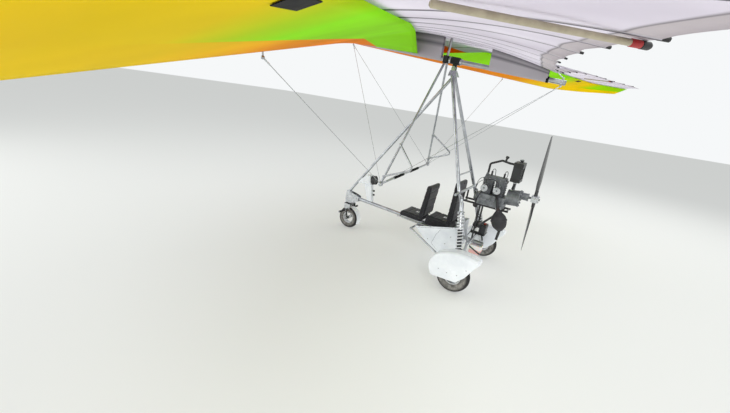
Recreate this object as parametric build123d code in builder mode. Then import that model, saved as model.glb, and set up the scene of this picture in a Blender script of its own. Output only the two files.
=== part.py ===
from build123d import *
import os
from math import atan2, cos, radians, sin, tan

# A two-seat flex-wing microlight: a three-wheeled trike under a wire-braced wing.
# Millimetres. +X is forward, +Y is port, +Z is up, and the ground is z = 0.
# The origin is on the ground, midway between the two main wheels.

os.makedirs("parts", exist_ok=True)

# General fits
seat_gap = 0.3
running_clearance = 0.05
side_clearance = 1.0

# Wheels
wheelbase = 1980
track = 1440
main_tyre_radius = 200
main_tyre_width = 100
main_rim_radius = 102
nose_tyre_radius = 170
nose_tyre_width = 88
nose_rim_radius = 92
axle_radius = 10
hub_radius = 26
tyre_bead_depth = 9
rim_web_half = 9
rim_lip = 5

# Nose fork and steering
trail = 50
stem_radius = 16
fork_gap = 9
fork_leg_radius = 12
crown_height = 384
crown_thickness = 24
peg_height = 300
peg_length = 190
peg_radius = 11
guard_gap = 16
guard_wall = 4

# Head block at the front of the base tube
head_block_length = 84
head_block_width = 76
head_block_base = 410
head_block_top = 600
head_block_cap = 20

# Base tube, mast and struts
base_tube_radius = 27
base_tube_front_height = 520
base_tube_rear_height = 430
base_tube_rear_x = -120
tube_wall = 3
mast_leg_radius = 22
mast_top_x = 745
mast_top_spread = 48
mast_top_height = 2440
cross_tube_x = 249
cross_tube_height = 1090
cross_tube_half_spread = 345
cross_tube_radius = 17
cross_tube_overhang = 150
cross_tube_stub_radius = 15
seat_bar_height = 1290
seat_bar_radius = 11
cross_tube_stub_length = 90
lower_leg_radius = 20
axle_beam_x = 20
axle_beam_half_width = 300
front_strut_radius = 19

# Mast head and hang bolt
mast_head_rise = 97
mast_head_half_width = 75
mast_head_length = 110
hang_x = 758
hang_bolt_radius = 8
hang_ear_half_width = 20
hang_ear_radius = 24
hang_lug_width = 16
hang_lug_radius = 24
hang_drop = 84
mast_head_step = 29

# Wing keel
keel_radius = 27
keel_nose_x = 2410
keel_rear_x = -520
keel_pitch = 5.5
wing_bank = -5.5
hang_block_length = 120
hang_block_half_width = 42
collar_radius = 36
collar_length = 22

# Sail planform, seen from above
sail_slot = 32
sail_wall = 3
leading_edge_radius = 24
nose_pocket_radius = 28.5
leading_edge_sweep = 0.513
leading_edge_drop = 0.085
leading_edge_end = 4430
nose_cut_x = 2230
nose_cut_half_width = 110

# Control frame
frame_bracket_x = 880
frame_bracket_length = 60
upright_radius = 15
upright_top_spread = 45
base_bar_x = 1200
control_frame_depth = 1559
base_bar_half_width = 763
knuckle_radius = 33
wire_radius = 2.5
tang_radius = 12
rear_wire_x = -480
side_wire_y = 3050

# King post
king_post_radius = 16
king_post_height = 900
post_cap = 22

# Engine bearers and propeller
bearer_drop = 130
propeller_x = -560
propeller_rise = 220
propeller_radius = 800
propeller_angle = -20
shaft_radius = 14


# Heights that follow from the mast, the cross tube and the hang bolt
hang_z = mast_top_height + mast_head_rise
keel_height_at_hang = hang_z + hang_drop
base_bar_height = keel_height_at_hang - control_frame_depth
bearer_z = cross_tube_height - bearer_drop
propeller_height = bearer_z + propeller_rise


def on_line(start, end, share):
    """A point between two points, at a share of the way."""
    return Vector(*start) + (Vector(*end) - Vector(*start)) * share


def rod(start, end, radius, wall=0):
    """A straight tube or rod from one point to another."""
    run = Vector(*end) - Vector(*start)
    with BuildPart() as piece:
        with BuildSketch(Plane(origin=start, z_dir=run)):
            Circle(radius)
            if wall:
                Circle(radius - wall, mode=Mode.SUBTRACT)
        extrude(amount=run.length)
    return piece.part


def bent_rod(points, radius, bend):
    """A rod along straight runs joined by arcs of one bend radius."""
    with BuildPart() as piece:
        with BuildLine() as route:
            FilletPolyline(*points, radius=bend)
        with BuildSketch(Plane(origin=route.line @ 0, z_dir=route.line % 0)):
            Circle(radius)
        sweep(path=route.line)
    return piece.part


def keel_height(x):
    """Height of the wing keel's centreline at a place along the wing."""
    return keel_height_at_hang + (x - hang_x) * tan(radians(keel_pitch))


def save(name, part):
    """Label one finished piece and write it to its own file."""
    part.label = name
    export_step(part, f"parts/{name}.step")


keel_axis = Axis(
    (hang_x, 0, keel_height_at_hang), (cos(radians(keel_pitch)), 0, sin(radians(keel_pitch)))
)


def save_wing(name, part):
    """Save a piece of the wing, turned about the keel to the bank that it rests at."""
    save(name, part.rotate(keel_axis, wing_bank))


keel_plane = Plane(
    origin=(0, 0, keel_height(0)),
    x_dir=(cos(radians(keel_pitch)), 0, sin(radians(keel_pitch))),
    z_dir=(-sin(radians(keel_pitch)), 0, cos(radians(keel_pitch))),
)
steer_x = wheelbase + trail
fork_half_width = nose_tyre_width / 2 + fork_gap + fork_leg_radius
crown_top = crown_height + crown_thickness / 2
crown_base = crown_height - crown_thickness / 2
wheel_sides = (("port", 1), ("starboard", -1))


# Tyres and rims: a revolved ring with a rounded tread, on a dished rim with a bored hub
def tyre(centre, radius, width, rim_radius):
    half = width / 2
    seat = rim_radius + seat_gap
    with BuildPart() as piece:
        with BuildSketch(Plane.XZ):
            with BuildLine():
                Polyline((seat, -half * 0.72), (seat, half * 0.72))
                Line((seat, half * 0.72), (rim_radius + tyre_bead_depth, half * 0.9))
                ThreePointArc(
                    (rim_radius + tyre_bead_depth, half * 0.9),
                    ((rim_radius + radius) / 2 + 6, half),
                    (radius - 12, half * 0.72),
                )
                ThreePointArc(
                    (radius - 12, half * 0.72), (radius, 0), (radius - 12, -half * 0.72)
                )
                ThreePointArc(
                    (radius - 12, -half * 0.72),
                    ((rim_radius + radius) / 2 + 6, -half),
                    (rim_radius + tyre_bead_depth, -half * 0.9),
                )
                Line((rim_radius + tyre_bead_depth, -half * 0.9), (seat, -half * 0.72))
            make_face()
        revolve(axis=Axis.Z)
    return Pos(*centre) * Rot(90, 0, 0) * piece.part


def rim(centre, rim_radius, width, spokes):
    half = width / 2 * 0.72
    bore = axle_radius + running_clearance
    with BuildPart() as piece:
        with BuildSketch(Plane.XY):
            Circle(rim_radius)
            Circle(rim_radius - 8, mode=Mode.SUBTRACT)
        extrude(amount=half, both=True)
        with BuildSketch(Plane.XY):
            Circle(hub_radius)
        extrude(amount=half, both=True)
        with BuildSketch(Plane.XY):
            with PolarLocations(0, spokes):
                with BuildLine():
                    Polyline(
                        (hub_radius - 6, -15), (rim_radius - 5, -8), (rim_radius - 5, 8),
                        (hub_radius - 6, 15), close=True,
                    )
                make_face()
        extrude(amount=rim_web_half, both=True)
        for face in (-half, half - rim_lip):
            with BuildSketch(Plane.XY.offset(face)):
                Circle(rim_radius)
                Circle(rim_radius - 12, mode=Mode.SUBTRACT)
            extrude(amount=rim_lip)
        with BuildSketch(Plane.XY):
            Circle(bore)
        extrude(amount=half, both=True, mode=Mode.SUBTRACT)
    return Pos(*centre) * Rot(90, 0, 0) * piece.part


nose_centre = (wheelbase, 0, nose_tyre_radius)
save("nose_tyre", tyre(nose_centre, nose_tyre_radius, nose_tyre_width, nose_rim_radius))
save("nose_rim", rim(nose_centre, nose_rim_radius, nose_tyre_width, 5))
for side, sign in wheel_sides:
    centre = (0, sign * track / 2, main_tyre_radius)
    save(f"main_tyre_{side}", tyre(centre, main_tyre_radius, main_tyre_width, main_rim_radius))
    save(f"main_rim_{side}", rim(centre, main_rim_radius, main_tyre_width, 4))


# Steering fork: a stem in the head block, a crown, two legs trailing to the axle and the axle
with BuildPart() as fork:
    with BuildSketch(Plane.XY.offset(crown_base)):
        with Locations(((wheelbase + steer_x) / 2, 0)):
            RectangleRounded(trail + 4 * fork_leg_radius, 2 * (fork_half_width + fork_leg_radius), 12)
    extrude(amount=crown_thickness)
    with BuildSketch(Plane.XY.offset(crown_top)):
        with Locations((steer_x, 0)):
            Circle(stem_radius)
    extrude(amount=head_block_top - head_block_cap - 4 - crown_top)
    with BuildSketch(Plane.XZ.offset(-fork_half_width - fork_leg_radius)):
        with Locations((wheelbase, nose_tyre_radius)):
            Circle(axle_radius)
    extrude(amount=2 * (fork_half_width + fork_leg_radius))
    for leg_side in (1, -1):
        leg_y = leg_side * fork_half_width
        leg_foot = (wheelbase, leg_y, nose_tyre_radius)
        leg_head = (steer_x, leg_y, crown_base)
        leg_run = Vector(*leg_head) - Vector(*leg_foot)
        with BuildSketch(Plane(origin=on_line(leg_foot, leg_head, 0.05), z_dir=leg_run)):
            Circle(fork_leg_radius)
        extrude(amount=0.95 * leg_run.length + 6)
        with BuildSketch(Plane.XZ.offset(-leg_y - fork_leg_radius - 1)):
            with Locations((wheelbase, nose_tyre_radius)):
                Circle(20)
        extrude(amount=2 * fork_leg_radius + 2)
save("steering_fork", fork.part)

# Foot pegs: one clamp and bar on the outside of each fork leg
peg_share = (peg_height - nose_tyre_radius) / (crown_base - nose_tyre_radius)
peg_x = wheelbase + trail * peg_share
with BuildPart() as pegs:
    for leg_side in (1, -1):
        inner = leg_side * (fork_half_width + fork_leg_radius + seat_gap)
        with BuildSketch(Plane.XZ.offset(-inner)):
            with Locations((peg_x, peg_height)):
                Circle(peg_radius)
        extrude(amount=-leg_side * peg_length)
        with BuildSketch(Plane.XZ.offset(-inner)):
            with Locations((peg_x, peg_height)):
                Circle(peg_radius + 7)
        extrude(amount=-leg_side * 14)
save("foot_pegs", pegs.part)

# Mudguard: an arched shell behind the nose wheel, hung from the crown
guard_inner = nose_tyre_radius + guard_gap
guard_outer = guard_inner + guard_wall
with BuildPart() as guard:
    with BuildSketch(Plane.XZ):
        with Locations((wheelbase, nose_tyre_radius)):
            Circle(guard_outer)
            Circle(guard_inner, mode=Mode.SUBTRACT)
        with BuildLine():
            Polyline(
                (wheelbase, nose_tyre_radius),
                (wheelbase + 20, nose_tyre_radius + 400),
                (wheelbase - 500, nose_tyre_radius + 400),
                (wheelbase - 500, nose_tyre_radius - 170),
                close=True,
            )
        make_face(mode=Mode.INTERSECT)
    extrude(amount=nose_tyre_width / 2 + 6, both=True)
    with BuildSketch(Plane.XY.offset(nose_tyre_radius + guard_inner + 1)):
        with Locations((wheelbase, 0)):
            Rectangle(30, 40)
    extrude(amount=crown_base - seat_gap - nose_tyre_radius - guard_inner - 1)
save("mudguard", guard.part)


# Head block: the casting that joins the base tube, the front strut and the fork stem
block_rear = steer_x - head_block_length / 2
with BuildPart() as head_block:
    with BuildSketch(Plane.XY.offset(head_block_base)):
        with Locations((steer_x, 0)):
            RectangleRounded(head_block_length, head_block_width, 14)
    extrude(amount=head_block_top - head_block_base)
    with BuildSketch(Plane.XY.offset(head_block_base)):
        with Locations((steer_x, 0)):
            Circle(stem_radius + running_clearance)
    extrude(amount=head_block_top - head_block_cap - head_block_base, mode=Mode.SUBTRACT)
save("head_block", head_block.part)

# Base tube: from the head block back under the seats to the rear of the trike
with BuildPart() as base_tube:
    add(rod(
        (base_tube_rear_x, 0, base_tube_rear_height),
        (block_rear + 40, 0, base_tube_front_height),
        base_tube_radius, tube_wall,
    ))
    split(bisect_by=Plane.YZ.offset(block_rear - seat_gap), keep=Keep.BOTTOM)
save("base_tube", base_tube.part)

# Front strut: from the head block up to the mast head
strut_top = (mast_top_x, 0, mast_top_height)
strut_foot = (steer_x, 0, head_block_top)
with BuildPart() as front_strut:
    add(rod(
        on_line(strut_foot, strut_top, -0.03), on_line(strut_foot, strut_top, 1.03),
        front_strut_radius, tube_wall,
    ))
    split(bisect_by=Plane.XY.offset(mast_top_height - seat_gap), keep=Keep.BOTTOM)
    split(bisect_by=Plane.XY.offset(head_block_top + seat_gap), keep=Keep.TOP)
save("front_strut", front_strut.part)

# Mast: two legs from the mast head to the cross tube, with a bar between them that the rear
# seat's back hangs from
with BuildPart() as mast_legs:
    for side, sign in wheel_sides:
        leg_top = (mast_top_x, sign * mast_top_spread, mast_top_height)
        leg_foot = (cross_tube_x, sign * cross_tube_half_spread, cross_tube_height)
        add(rod(leg_foot, on_line(leg_foot, leg_top, 1.03), mast_leg_radius, tube_wall))
    share = (seat_bar_height - cross_tube_height) / (mast_top_height - cross_tube_height)
    bar_x = cross_tube_x + (mast_top_x - cross_tube_x) * share
    bar_half = cross_tube_half_spread + (mast_top_spread - cross_tube_half_spread) * share
    bar_half = bar_half - mast_leg_radius + tube_wall / 2
    add(rod((bar_x, -bar_half, seat_bar_height), (bar_x, bar_half, seat_bar_height), seat_bar_radius))
    split(bisect_by=Plane.XY.offset(mast_top_height - seat_gap), keep=Keep.BOTTOM)
    split(
        bisect_by=Plane.XY.offset(cross_tube_height + cross_tube_radius + seat_gap),
        keep=Keep.TOP,
    )
save("mast_legs", mast_legs.part)


# Mast head: a tapered block on the legs, with two lugs that carry the hang bolt
lug_inner = hang_ear_half_width + side_clearance
lug_outer = lug_inner + hang_lug_width
head_top = hang_z - mast_head_step
with BuildPart() as mast_head:
    with BuildSketch(Plane.XY.offset(mast_top_height)):
        with Locations((mast_top_x, 0)):
            RectangleRounded(mast_head_length, 2 * mast_head_half_width, 12)
    with BuildSketch(Plane.XY.offset(head_top)):
        with Locations((hang_x, 0)):
            RectangleRounded(mast_head_length * 0.7, 2 * lug_outer + 8, 8)
    loft()
    for lug_side in (1, -1):
        with BuildSketch(Plane.XZ.offset(-lug_side * lug_inner)):
            with Locations((hang_x, hang_z)):
                Circle(hang_lug_radius)
            with Locations((hang_x, (hang_z + head_top) / 2 - 2)):
                Rectangle(2 * hang_lug_radius, hang_z - head_top + 4)
        extrude(amount=-lug_side * hang_lug_width)
        with BuildSketch(Plane.XZ.offset(-lug_side * lug_outer)):
            with Locations((hang_x, hang_z)):
                RegularPolygon(14, 6)
        extrude(amount=-lug_side * 10)
    with BuildSketch(Plane.XZ.offset(-lug_outer)):
        with Locations((hang_x, hang_z)):
            Circle(hang_bolt_radius)
    extrude(amount=2 * lug_outer)
save("mast_head", mast_head.part)

# Hang block: rocks on the hang bolt, and the wing keel rolls in its bore
hang_on_keel = keel_plane.to_local_coords(Vector(hang_x, 0, keel_height_at_hang)).X
with BuildPart() as hang_block:
    with BuildSketch(keel_plane.offset(-40)):
        with Locations((hang_on_keel, 0)):
            RectangleRounded(hang_block_length, 2 * hang_block_half_width, 14)
    extrude(amount=82)
    with BuildSketch(Plane.XZ.offset(-hang_ear_half_width)):
        with Locations((hang_x, hang_z)):
            Circle(hang_ear_radius)
        with Locations((hang_x, hang_z + hang_drop / 4)):
            Rectangle(2 * hang_ear_radius, hang_drop / 2 + 12)
    extrude(amount=2 * hang_ear_half_width)
    with BuildSketch(Plane.XZ.offset(-hang_ear_half_width)):
        with Locations((hang_x, hang_z)):
            Circle(hang_bolt_radius + running_clearance)
    extrude(amount=2 * hang_ear_half_width, mode=Mode.SUBTRACT)
    bore_start = keel_plane.from_local_coords(Vector(hang_on_keel - hang_block_length, 0, 0))
    with BuildSketch(Plane(origin=bore_start, z_dir=keel_plane.x_dir)):
        Circle(keel_radius + running_clearance)
    extrude(amount=2 * hang_block_length, mode=Mode.SUBTRACT)
save("hang_block", hang_block.part)


# Wing keel, with collars each side of the hang block
def keel_point(x, rise=0):
    """A point at a place along the keel, raised square to it."""
    along = (x - 0) / cos(radians(keel_pitch))
    return keel_plane.from_local_coords(Vector(along, 0, rise))


save_wing("wing_keel", rod(keel_point(keel_rear_x), keel_point(keel_nose_x - 20), keel_radius, tube_wall))

with BuildPart() as collars:
    for x_start in (
        hang_x - hang_block_length / 2 - side_clearance - collar_length,
        hang_x + hang_block_length / 2 + side_clearance,
    ):
        with BuildSketch(Plane(origin=keel_point(x_start), z_dir=keel_plane.x_dir)):
            Circle(collar_radius)
            Circle(keel_radius + seat_gap, mode=Mode.SUBTRACT)
        extrude(amount=collar_length)

# Nose plates: two plates that clamp the keel and the leading edges, each with a wire tang
with BuildPart() as nose_plates:
    for face in (1, -1):
        level = face * (keel_radius + seat_gap)
        with BuildSketch(keel_plane.offset(level)):
            with Locations((keel_nose_x / cos(radians(keel_pitch)), 0)):
                Polygon(
                    (20, -28), (20, 28), (-40, 82), (-78, 82), (-150, 34), (-150, -34), (-78, -82),
                    (-40, -82), align=None,
                )
        extrude(amount=face * 5)
        with BuildSketch(keel_plane.offset(level + face * 5)):
            with Locations((keel_nose_x / cos(radians(keel_pitch)) - 90, 0)):
                Circle(6)
        extrude(amount=face * 14)
        with Locations(Location(keel_point(keel_nose_x - 90, level + face * 22))):
            Sphere(tang_radius)
save_wing("nose_plates", nose_plates.part)

# Keel fittings: the two collars, and a tail ring with a wire tang above and below
with BuildPart() as keel_tail:
    with BuildSketch(Plane(origin=keel_point(rear_wire_x - 10), z_dir=keel_plane.x_dir)):
        Circle(keel_radius + 6)
        Circle(keel_radius + seat_gap, mode=Mode.SUBTRACT)
    extrude(amount=20)
    for face in (1, -1):
        with Locations(Location(keel_point(rear_wire_x, face * (keel_radius + 14)))):
            Sphere(tang_radius)
    with BuildSketch(Plane(origin=keel_point(rear_wire_x - 30), z_dir=keel_plane.x_dir)):
        Circle(keel_radius + seat_gap)
    extrude(amount=60, mode=Mode.SUBTRACT)
with BuildPart() as keel_fittings:
    add(collars.part)
    add(keel_tail.part)
save_wing("keel_fittings", keel_fittings.part)

# Frame bracket: a clamp on the keel that the uprights and the king post stand on
bracket_reach = keel_radius + 18
with BuildPart() as frame_bracket:
    with BuildSketch(keel_plane.offset(-bracket_reach)):
        with Locations((frame_bracket_x / cos(radians(keel_pitch)), 0)):
            RectangleRounded(frame_bracket_length, 2 * (upright_top_spread + 12), 8)
    extrude(amount=2 * bracket_reach)
    with BuildSketch(Plane(origin=keel_point(frame_bracket_x - 60), z_dir=keel_plane.x_dir)):
        Circle(keel_radius + seat_gap)
    extrude(amount=120, mode=Mode.SUBTRACT)
save_wing("frame_bracket", frame_bracket.part)

# Control frame: two uprights, and the base bar with a ball knuckle at each corner
with BuildPart() as base_bar:
    add(rod(
        (base_bar_x, -base_bar_half_width, base_bar_height),
        (base_bar_x, base_bar_half_width, base_bar_height),
        upright_radius,
    ))
    for side, sign in wheel_sides:
        with Locations((base_bar_x, sign * base_bar_half_width, base_bar_height)):
            Sphere(knuckle_radius)
save_wing("base_bar", base_bar.part)

with BuildPart() as uprights:
    for side, sign in wheel_sides:
        corner = Vector(base_bar_x, sign * base_bar_half_width, base_bar_height)
        apex = keel_point(frame_bracket_x, -bracket_reach) + Vector(0, sign * upright_top_spread, 0)
        add(rod(corner, on_line(corner, apex, 1.03), upright_radius, tube_wall))
    split(bisect_by=keel_plane.offset(-bracket_reach - seat_gap), keep=Keep.BOTTOM)
    for side, sign in wheel_sides:
        with Locations((base_bar_x, sign * base_bar_half_width, base_bar_height)):
            Sphere(knuckle_radius + seat_gap, mode=Mode.SUBTRACT)
save_wing("uprights", uprights.part)


# Second control bars: on each side an arm reaches aft from a clamp near the corner and
# returns to a clamp higher on the upright, all of it outboard of the rear wire
low_tail = keel_point(rear_wire_x, -(keel_radius + 14))
port_corner = Vector(base_bar_x, base_bar_half_width, base_bar_height)
port_apex = keel_point(frame_bracket_x, -bracket_reach) + Vector(0, upright_top_spread, 0)
upright_run = (port_apex - port_corner).normalized()
outward = (low_tail - port_corner).cross(upright_run).normalized()
bar_offset = 32
bar_radius = 12
bar_low = on_line(port_corner, port_apex, 0.06)
bar_high = on_line(port_corner, port_apex, 0.33)
bar_bend = port_corner + Vector(-395, -80, 262)
with BuildPart() as control_bar:
    for clamp in (bar_low, bar_high):
        with BuildSketch(Plane(origin=clamp - upright_run * 16, z_dir=upright_run)):
            Circle(upright_radius + 6)
        extrude(amount=32)
        add(rod(clamp, clamp + outward * (bar_offset + 4), bar_radius + 2))
    add(bent_rod(
        [bar_low + outward * bar_offset, bar_bend, bar_high + outward * bar_offset], bar_radius, 45
    ))
    with BuildSketch(Plane(origin=bar_low - upright_run * 60, z_dir=upright_run)):
        Circle(upright_radius + seat_gap)
    extrude(amount=(bar_high - bar_low).length + 120, mode=Mode.SUBTRACT)
with BuildPart() as control_bars:
    add(control_bar.part)
    add(mirror(control_bar.part, about=Plane.XZ))
save_wing("control_bars", control_bars.part)

# King post on top of the frame bracket, with a ball cap for the upper wires
post_foot = keel_point(frame_bracket_x, bracket_reach + seat_gap)
post_top = post_foot + keel_plane.z_dir * king_post_height
with BuildPart() as king_post:
    add(rod(post_foot, post_top, king_post_radius, tube_wall))
    with Locations(Location(post_top)):
        Sphere(post_cap)
save_wing("king_post", king_post.part)


# Leading edges: a tube each side, with a wire tang above and below it
def nose_line(y):
    """Centre of the leading edge pocket at a distance out along the wing."""
    return Vector(
        keel_nose_x - leading_edge_sweep * y, y, keel_height(keel_nose_x) - leading_edge_drop * y,
    )


tang_reach = 62
side_tang = nose_line(side_wire_y)
with BuildPart() as leading_edge:
    add(rod(nose_line(48), nose_line(leading_edge_end), leading_edge_radius, tube_wall))
    for face in (1, -1):
        add(rod(
            side_tang + Vector(0, 0, face * (leading_edge_radius - tube_wall)),
            side_tang + Vector(0, 0, face * tang_reach), 6,
        ))
        with Locations(Location(side_tang + Vector(0, 0, face * tang_reach))):
            Sphere(tang_radius)
with BuildPart() as leading_edges:
    add(leading_edge.part)
    add(mirror(leading_edge.part, about=Plane.XZ))
save_wing("leading_edges", leading_edges.part)

# Sail ribs, by columns: distance out, trailing edge x, trailing edge rise above the keel's
# height at the hang block, crest share of the chord, where the lower skin ends, and how far its
# rear edge lies below the chord line. A tip rib has its nose x and rise in place of the tube's.
sail_ribs = (
    (32, -400, -31, 0.080, 0.40, -31.5),
    (1250, -526, 29, 0.082, 0.44, None),
    (2500, -778, 24, 0.080, 0.50, None),
    (3500, -1025, -11, 0.075, 0.52, None),
    (4450, -1350, -46, 0.065, 0.52, None),
)
tip_ribs = (
    (4700, -420, -221, -1430, -59, 0.050),
    (4860, -1080, -191, -1490, -76, 0.040),
)
crest_place = 0.36


def rib_plane(nose, tail):
    run = tail - nose
    return Plane(origin=nose, x_dir=run, z_dir=(0, 1, 0)), run.length


def rib_outline(chord, crest, skin_end, skin_drop):
    """The closed outline of one rib: upper skin, nose pocket and lower skin, one wall thick."""
    outer = nose_pocket_radius + sail_wall
    inner = nose_pocket_radius
    crest_x = crest_place * chord
    end_x = skin_end * chord
    lift = crest - sail_wall - 14
    drop = lift * 0.93 - sail_wall if skin_drop is None else skin_drop
    Line((chord, 0), (chord, sail_wall))
    ThreePointArc((chord, sail_wall), ((crest_x + chord) / 2, crest * 0.77), (crest_x, crest))
    ThreePointArc((crest_x, crest), (crest_x * 0.45, crest * 0.72), (0, outer))
    ThreePointArc((0, outer), (-outer, 0), (0, -outer))
    Line((0, -outer), (end_x, drop))
    Line((end_x, drop), (end_x, drop + sail_wall))
    Line((end_x, drop + sail_wall), (0, -inner))
    ThreePointArc((0, -inner), (-inner, 0), (0, inner))
    ThreePointArc(
        (0, inner), (crest_x * 0.45, crest * 0.72 - sail_wall), (crest_x, crest - sail_wall)
    )
    ThreePointArc(
        (crest_x, crest - sail_wall),
        ((crest_x + chord) / 2, crest * 0.77 - sail_wall),
        (chord, 0),
    )


with BuildPart() as sail:
    for out, tail_x, tail_rise, crest_share, skin_end, skin_drop in sail_ribs:
        tail = Vector(tail_x, out, keel_height_at_hang + tail_rise)
        plane, chord = rib_plane(nose_line(out), tail)
        with BuildSketch(plane):
            with BuildLine():
                rib_outline(chord, crest_share * chord, skin_end, skin_drop)
            make_face()
    for out, nose_x, nose_rise, tail_x, tail_rise, crest_share in tip_ribs:
        nose = Vector(nose_x, out, keel_height_at_hang + nose_rise)
        tail = Vector(tail_x, out, keel_height_at_hang + tail_rise)
        plane, chord = rib_plane(nose, tail)
        with BuildSketch(plane):
            with BuildLine():
                rib_outline(chord, crest_share * chord + 34, 0.5, None)
            make_face()
    loft(ruled=True)
    with BuildSketch(Plane.XY.offset(keel_height(keel_nose_x) - 200)):
        with Locations((nose_cut_x + 200, 0)):
            Rectangle(400, 2 * nose_cut_half_width)
    extrude(amount=400, mode=Mode.SUBTRACT)
    with BuildSketch(Plane.XY.offset(side_tang.Z - 100)):
        with Locations((side_tang.X, side_tang.Y)):
            Circle(tang_radius + 3)
    extrude(amount=200, mode=Mode.SUBTRACT)
save_wing("sail_port", sail.part)
save_wing("sail_starboard", mirror(sail.part, about=Plane.XZ))

# Keel pocket: the strip of sail over the keel, with webs down to a sleeve round the keel
root_out, root_x, root_rise, root_share, root_end, root_drop = sail_ribs[0]
root_plane, root_chord = rib_plane(
    Vector(nose_line(root_out).X, 0, nose_line(root_out).Z),
    Vector(root_x, 0, keel_height_at_hang + root_rise),
)
root_crest = root_share * root_chord
pocket_half = sail_slot - seat_gap
pocket_front = 330
pocket_rear = -330
web_low = keel_height_at_hang - 321
web_high = keel_height_at_hang + 579
with BuildPart() as keel_pocket:
    with BuildSketch(root_plane):
        with BuildLine():
            crest_x = crest_place * root_chord
            Line((root_chord, 0), (root_chord, sail_wall))
            ThreePointArc(
                (root_chord, sail_wall),
                ((crest_x + root_chord) / 2, root_crest * 0.77),
                (crest_x, root_crest),
            )
            ThreePointArc(
                (crest_x, root_crest),
                (crest_x * 0.45, root_crest * 0.72),
                (0, nose_pocket_radius + sail_wall),
            )
            Line((0, nose_pocket_radius + sail_wall), (0, nose_pocket_radius))
            ThreePointArc(
                (0, nose_pocket_radius),
                (crest_x * 0.45, root_crest * 0.72 - sail_wall),
                (crest_x, root_crest - sail_wall),
            )
            ThreePointArc(
                (crest_x, root_crest - sail_wall),
                ((crest_x + root_chord) / 2, root_crest * 0.77 - sail_wall),
                (root_chord, 0),
            )
        make_face()
    extrude(amount=pocket_half, both=True)
    with BuildSketch(Plane.XY.offset(keel_height(keel_nose_x) - 200)):
        with Locations((nose_cut_x + 200, 0)):
            Rectangle(400, 2 * nose_cut_half_width)
    extrude(amount=400, mode=Mode.SUBTRACT)
    for web_side in (1, -1):
        with BuildSketch(Plane.XZ.offset(-web_side * (keel_radius + seat_gap))):
            with BuildLine():
                Line(
                    (root_plane.from_local_coords(Vector(crest_x, 0, 0)).X, web_low),
                    (root_plane.from_local_coords(Vector(crest_x, root_crest - 1, 0)).X,
                     root_plane.from_local_coords(Vector(crest_x, root_crest - 1, 0)).Z),
                )
                ThreePointArc(
                    *[
                        (root_plane.from_local_coords(Vector(a, b, 0)).X,
                         root_plane.from_local_coords(Vector(a, b, 0)).Z)
                        for a, b in (
                            (crest_x, root_crest - 1),
                            ((crest_x + root_chord) / 2, root_crest * 0.77 - 1),
                            (root_chord, sail_wall - 1),
                        )
                    ]
                )
                Polyline(
                    (root_plane.from_local_coords(Vector(root_chord, sail_wall - 1, 0)).X,
                     root_plane.from_local_coords(Vector(root_chord, sail_wall - 1, 0)).Z),
                    (root_x, web_low),
                    (root_plane.from_local_coords(Vector(crest_x, 0, 0)).X, web_low),
                )
            make_face()
            with BuildLine():
                Polyline(
                    (pocket_front, keel_height(pocket_front)),
                    (pocket_rear, keel_height(pocket_rear)),
                    (pocket_rear, web_high),
                    (pocket_front, web_high),
                    close=True,
                )
            make_face(mode=Mode.INTERSECT)
        extrude(amount=-web_side * 2.5)
    sleeve_run = keel_point(pocket_front) - keel_point(pocket_rear)
    with BuildSketch(Plane(origin=keel_point(pocket_rear), x_dir=(0, 1, 0), z_dir=sleeve_run)):
        Circle(keel_radius + seat_gap + 2.5)
        Circle(keel_radius + seat_gap, mode=Mode.SUBTRACT)
    extrude(amount=sleeve_run.length)
    with BuildSketch(Plane(origin=post_foot - keel_plane.z_dir * 40, z_dir=keel_plane.z_dir)):
        Circle(king_post_radius + 4)
    extrude(amount=500, mode=Mode.SUBTRACT)
save_wing("keel_pocket", keel_pocket.part)


# Rigging: taut wires that stop at the balls they end on
def wire(start, start_ball, end, end_ball):
    run = (end - start).normalized()
    return rod(
        start + run * (start_ball + seat_gap), end - run * (end_ball + seat_gap), wire_radius
    )


low_nose = keel_point(keel_nose_x - 90, -(keel_radius + seat_gap + 22))
high_nose = keel_point(keel_nose_x - 90, keel_radius + seat_gap + 22)
high_tail = keel_point(rear_wire_x, keel_radius + 14)
with BuildPart() as lower_wires:
    for side, sign in wheel_sides:
        corner = Vector(base_bar_x, sign * base_bar_half_width, base_bar_height)
        low_side = Vector(side_tang.X, sign * side_tang.Y, side_tang.Z - tang_reach)
        for anchor in (low_nose, low_side, low_tail):
            add(wire(anchor, tang_radius, corner, knuckle_radius))
save_wing("lower_wires", lower_wires.part)
with BuildPart() as upper_wires:
    for anchor in (high_nose, high_tail):
        add(wire(anchor, tang_radius, post_top, post_cap))
    for side, sign in wheel_sides:
        high_side = Vector(side_tang.X, sign * side_tang.Y, side_tang.Z + tang_reach)
        add(wire(high_side, tang_radius, post_top, post_cap))
save_wing("upper_wires", upper_wires.part)


# Seat frame: two rails and three cross members over the base tube
base_slope = atan2(
    base_tube_front_height - base_tube_rear_height, block_rear + 40 - base_tube_rear_x
)


def base_height(x):
    """Height of the base tube's centreline."""
    return base_tube_rear_height + (x - base_tube_rear_x) * tan(base_slope)


seat_rail_radius = 12
rail_lift = (base_tube_radius + seat_rail_radius - 2) / cos(base_slope) + seat_gap
with BuildPart() as seat_frame:
    for x in (330, 700, 1040):
        add(rod(
            (x, -195, base_height(x) + rail_lift), (x, 195, base_height(x) + rail_lift),
            seat_rail_radius - 2,
        ))
    for side, sign in wheel_sides:
        add(rod(
            (300, sign * 200, base_height(300) + rail_lift),
            (1070, sign * 200, base_height(1070) + rail_lift),
            seat_rail_radius,
        ))
save("seat_frame", seat_frame.part)

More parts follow.
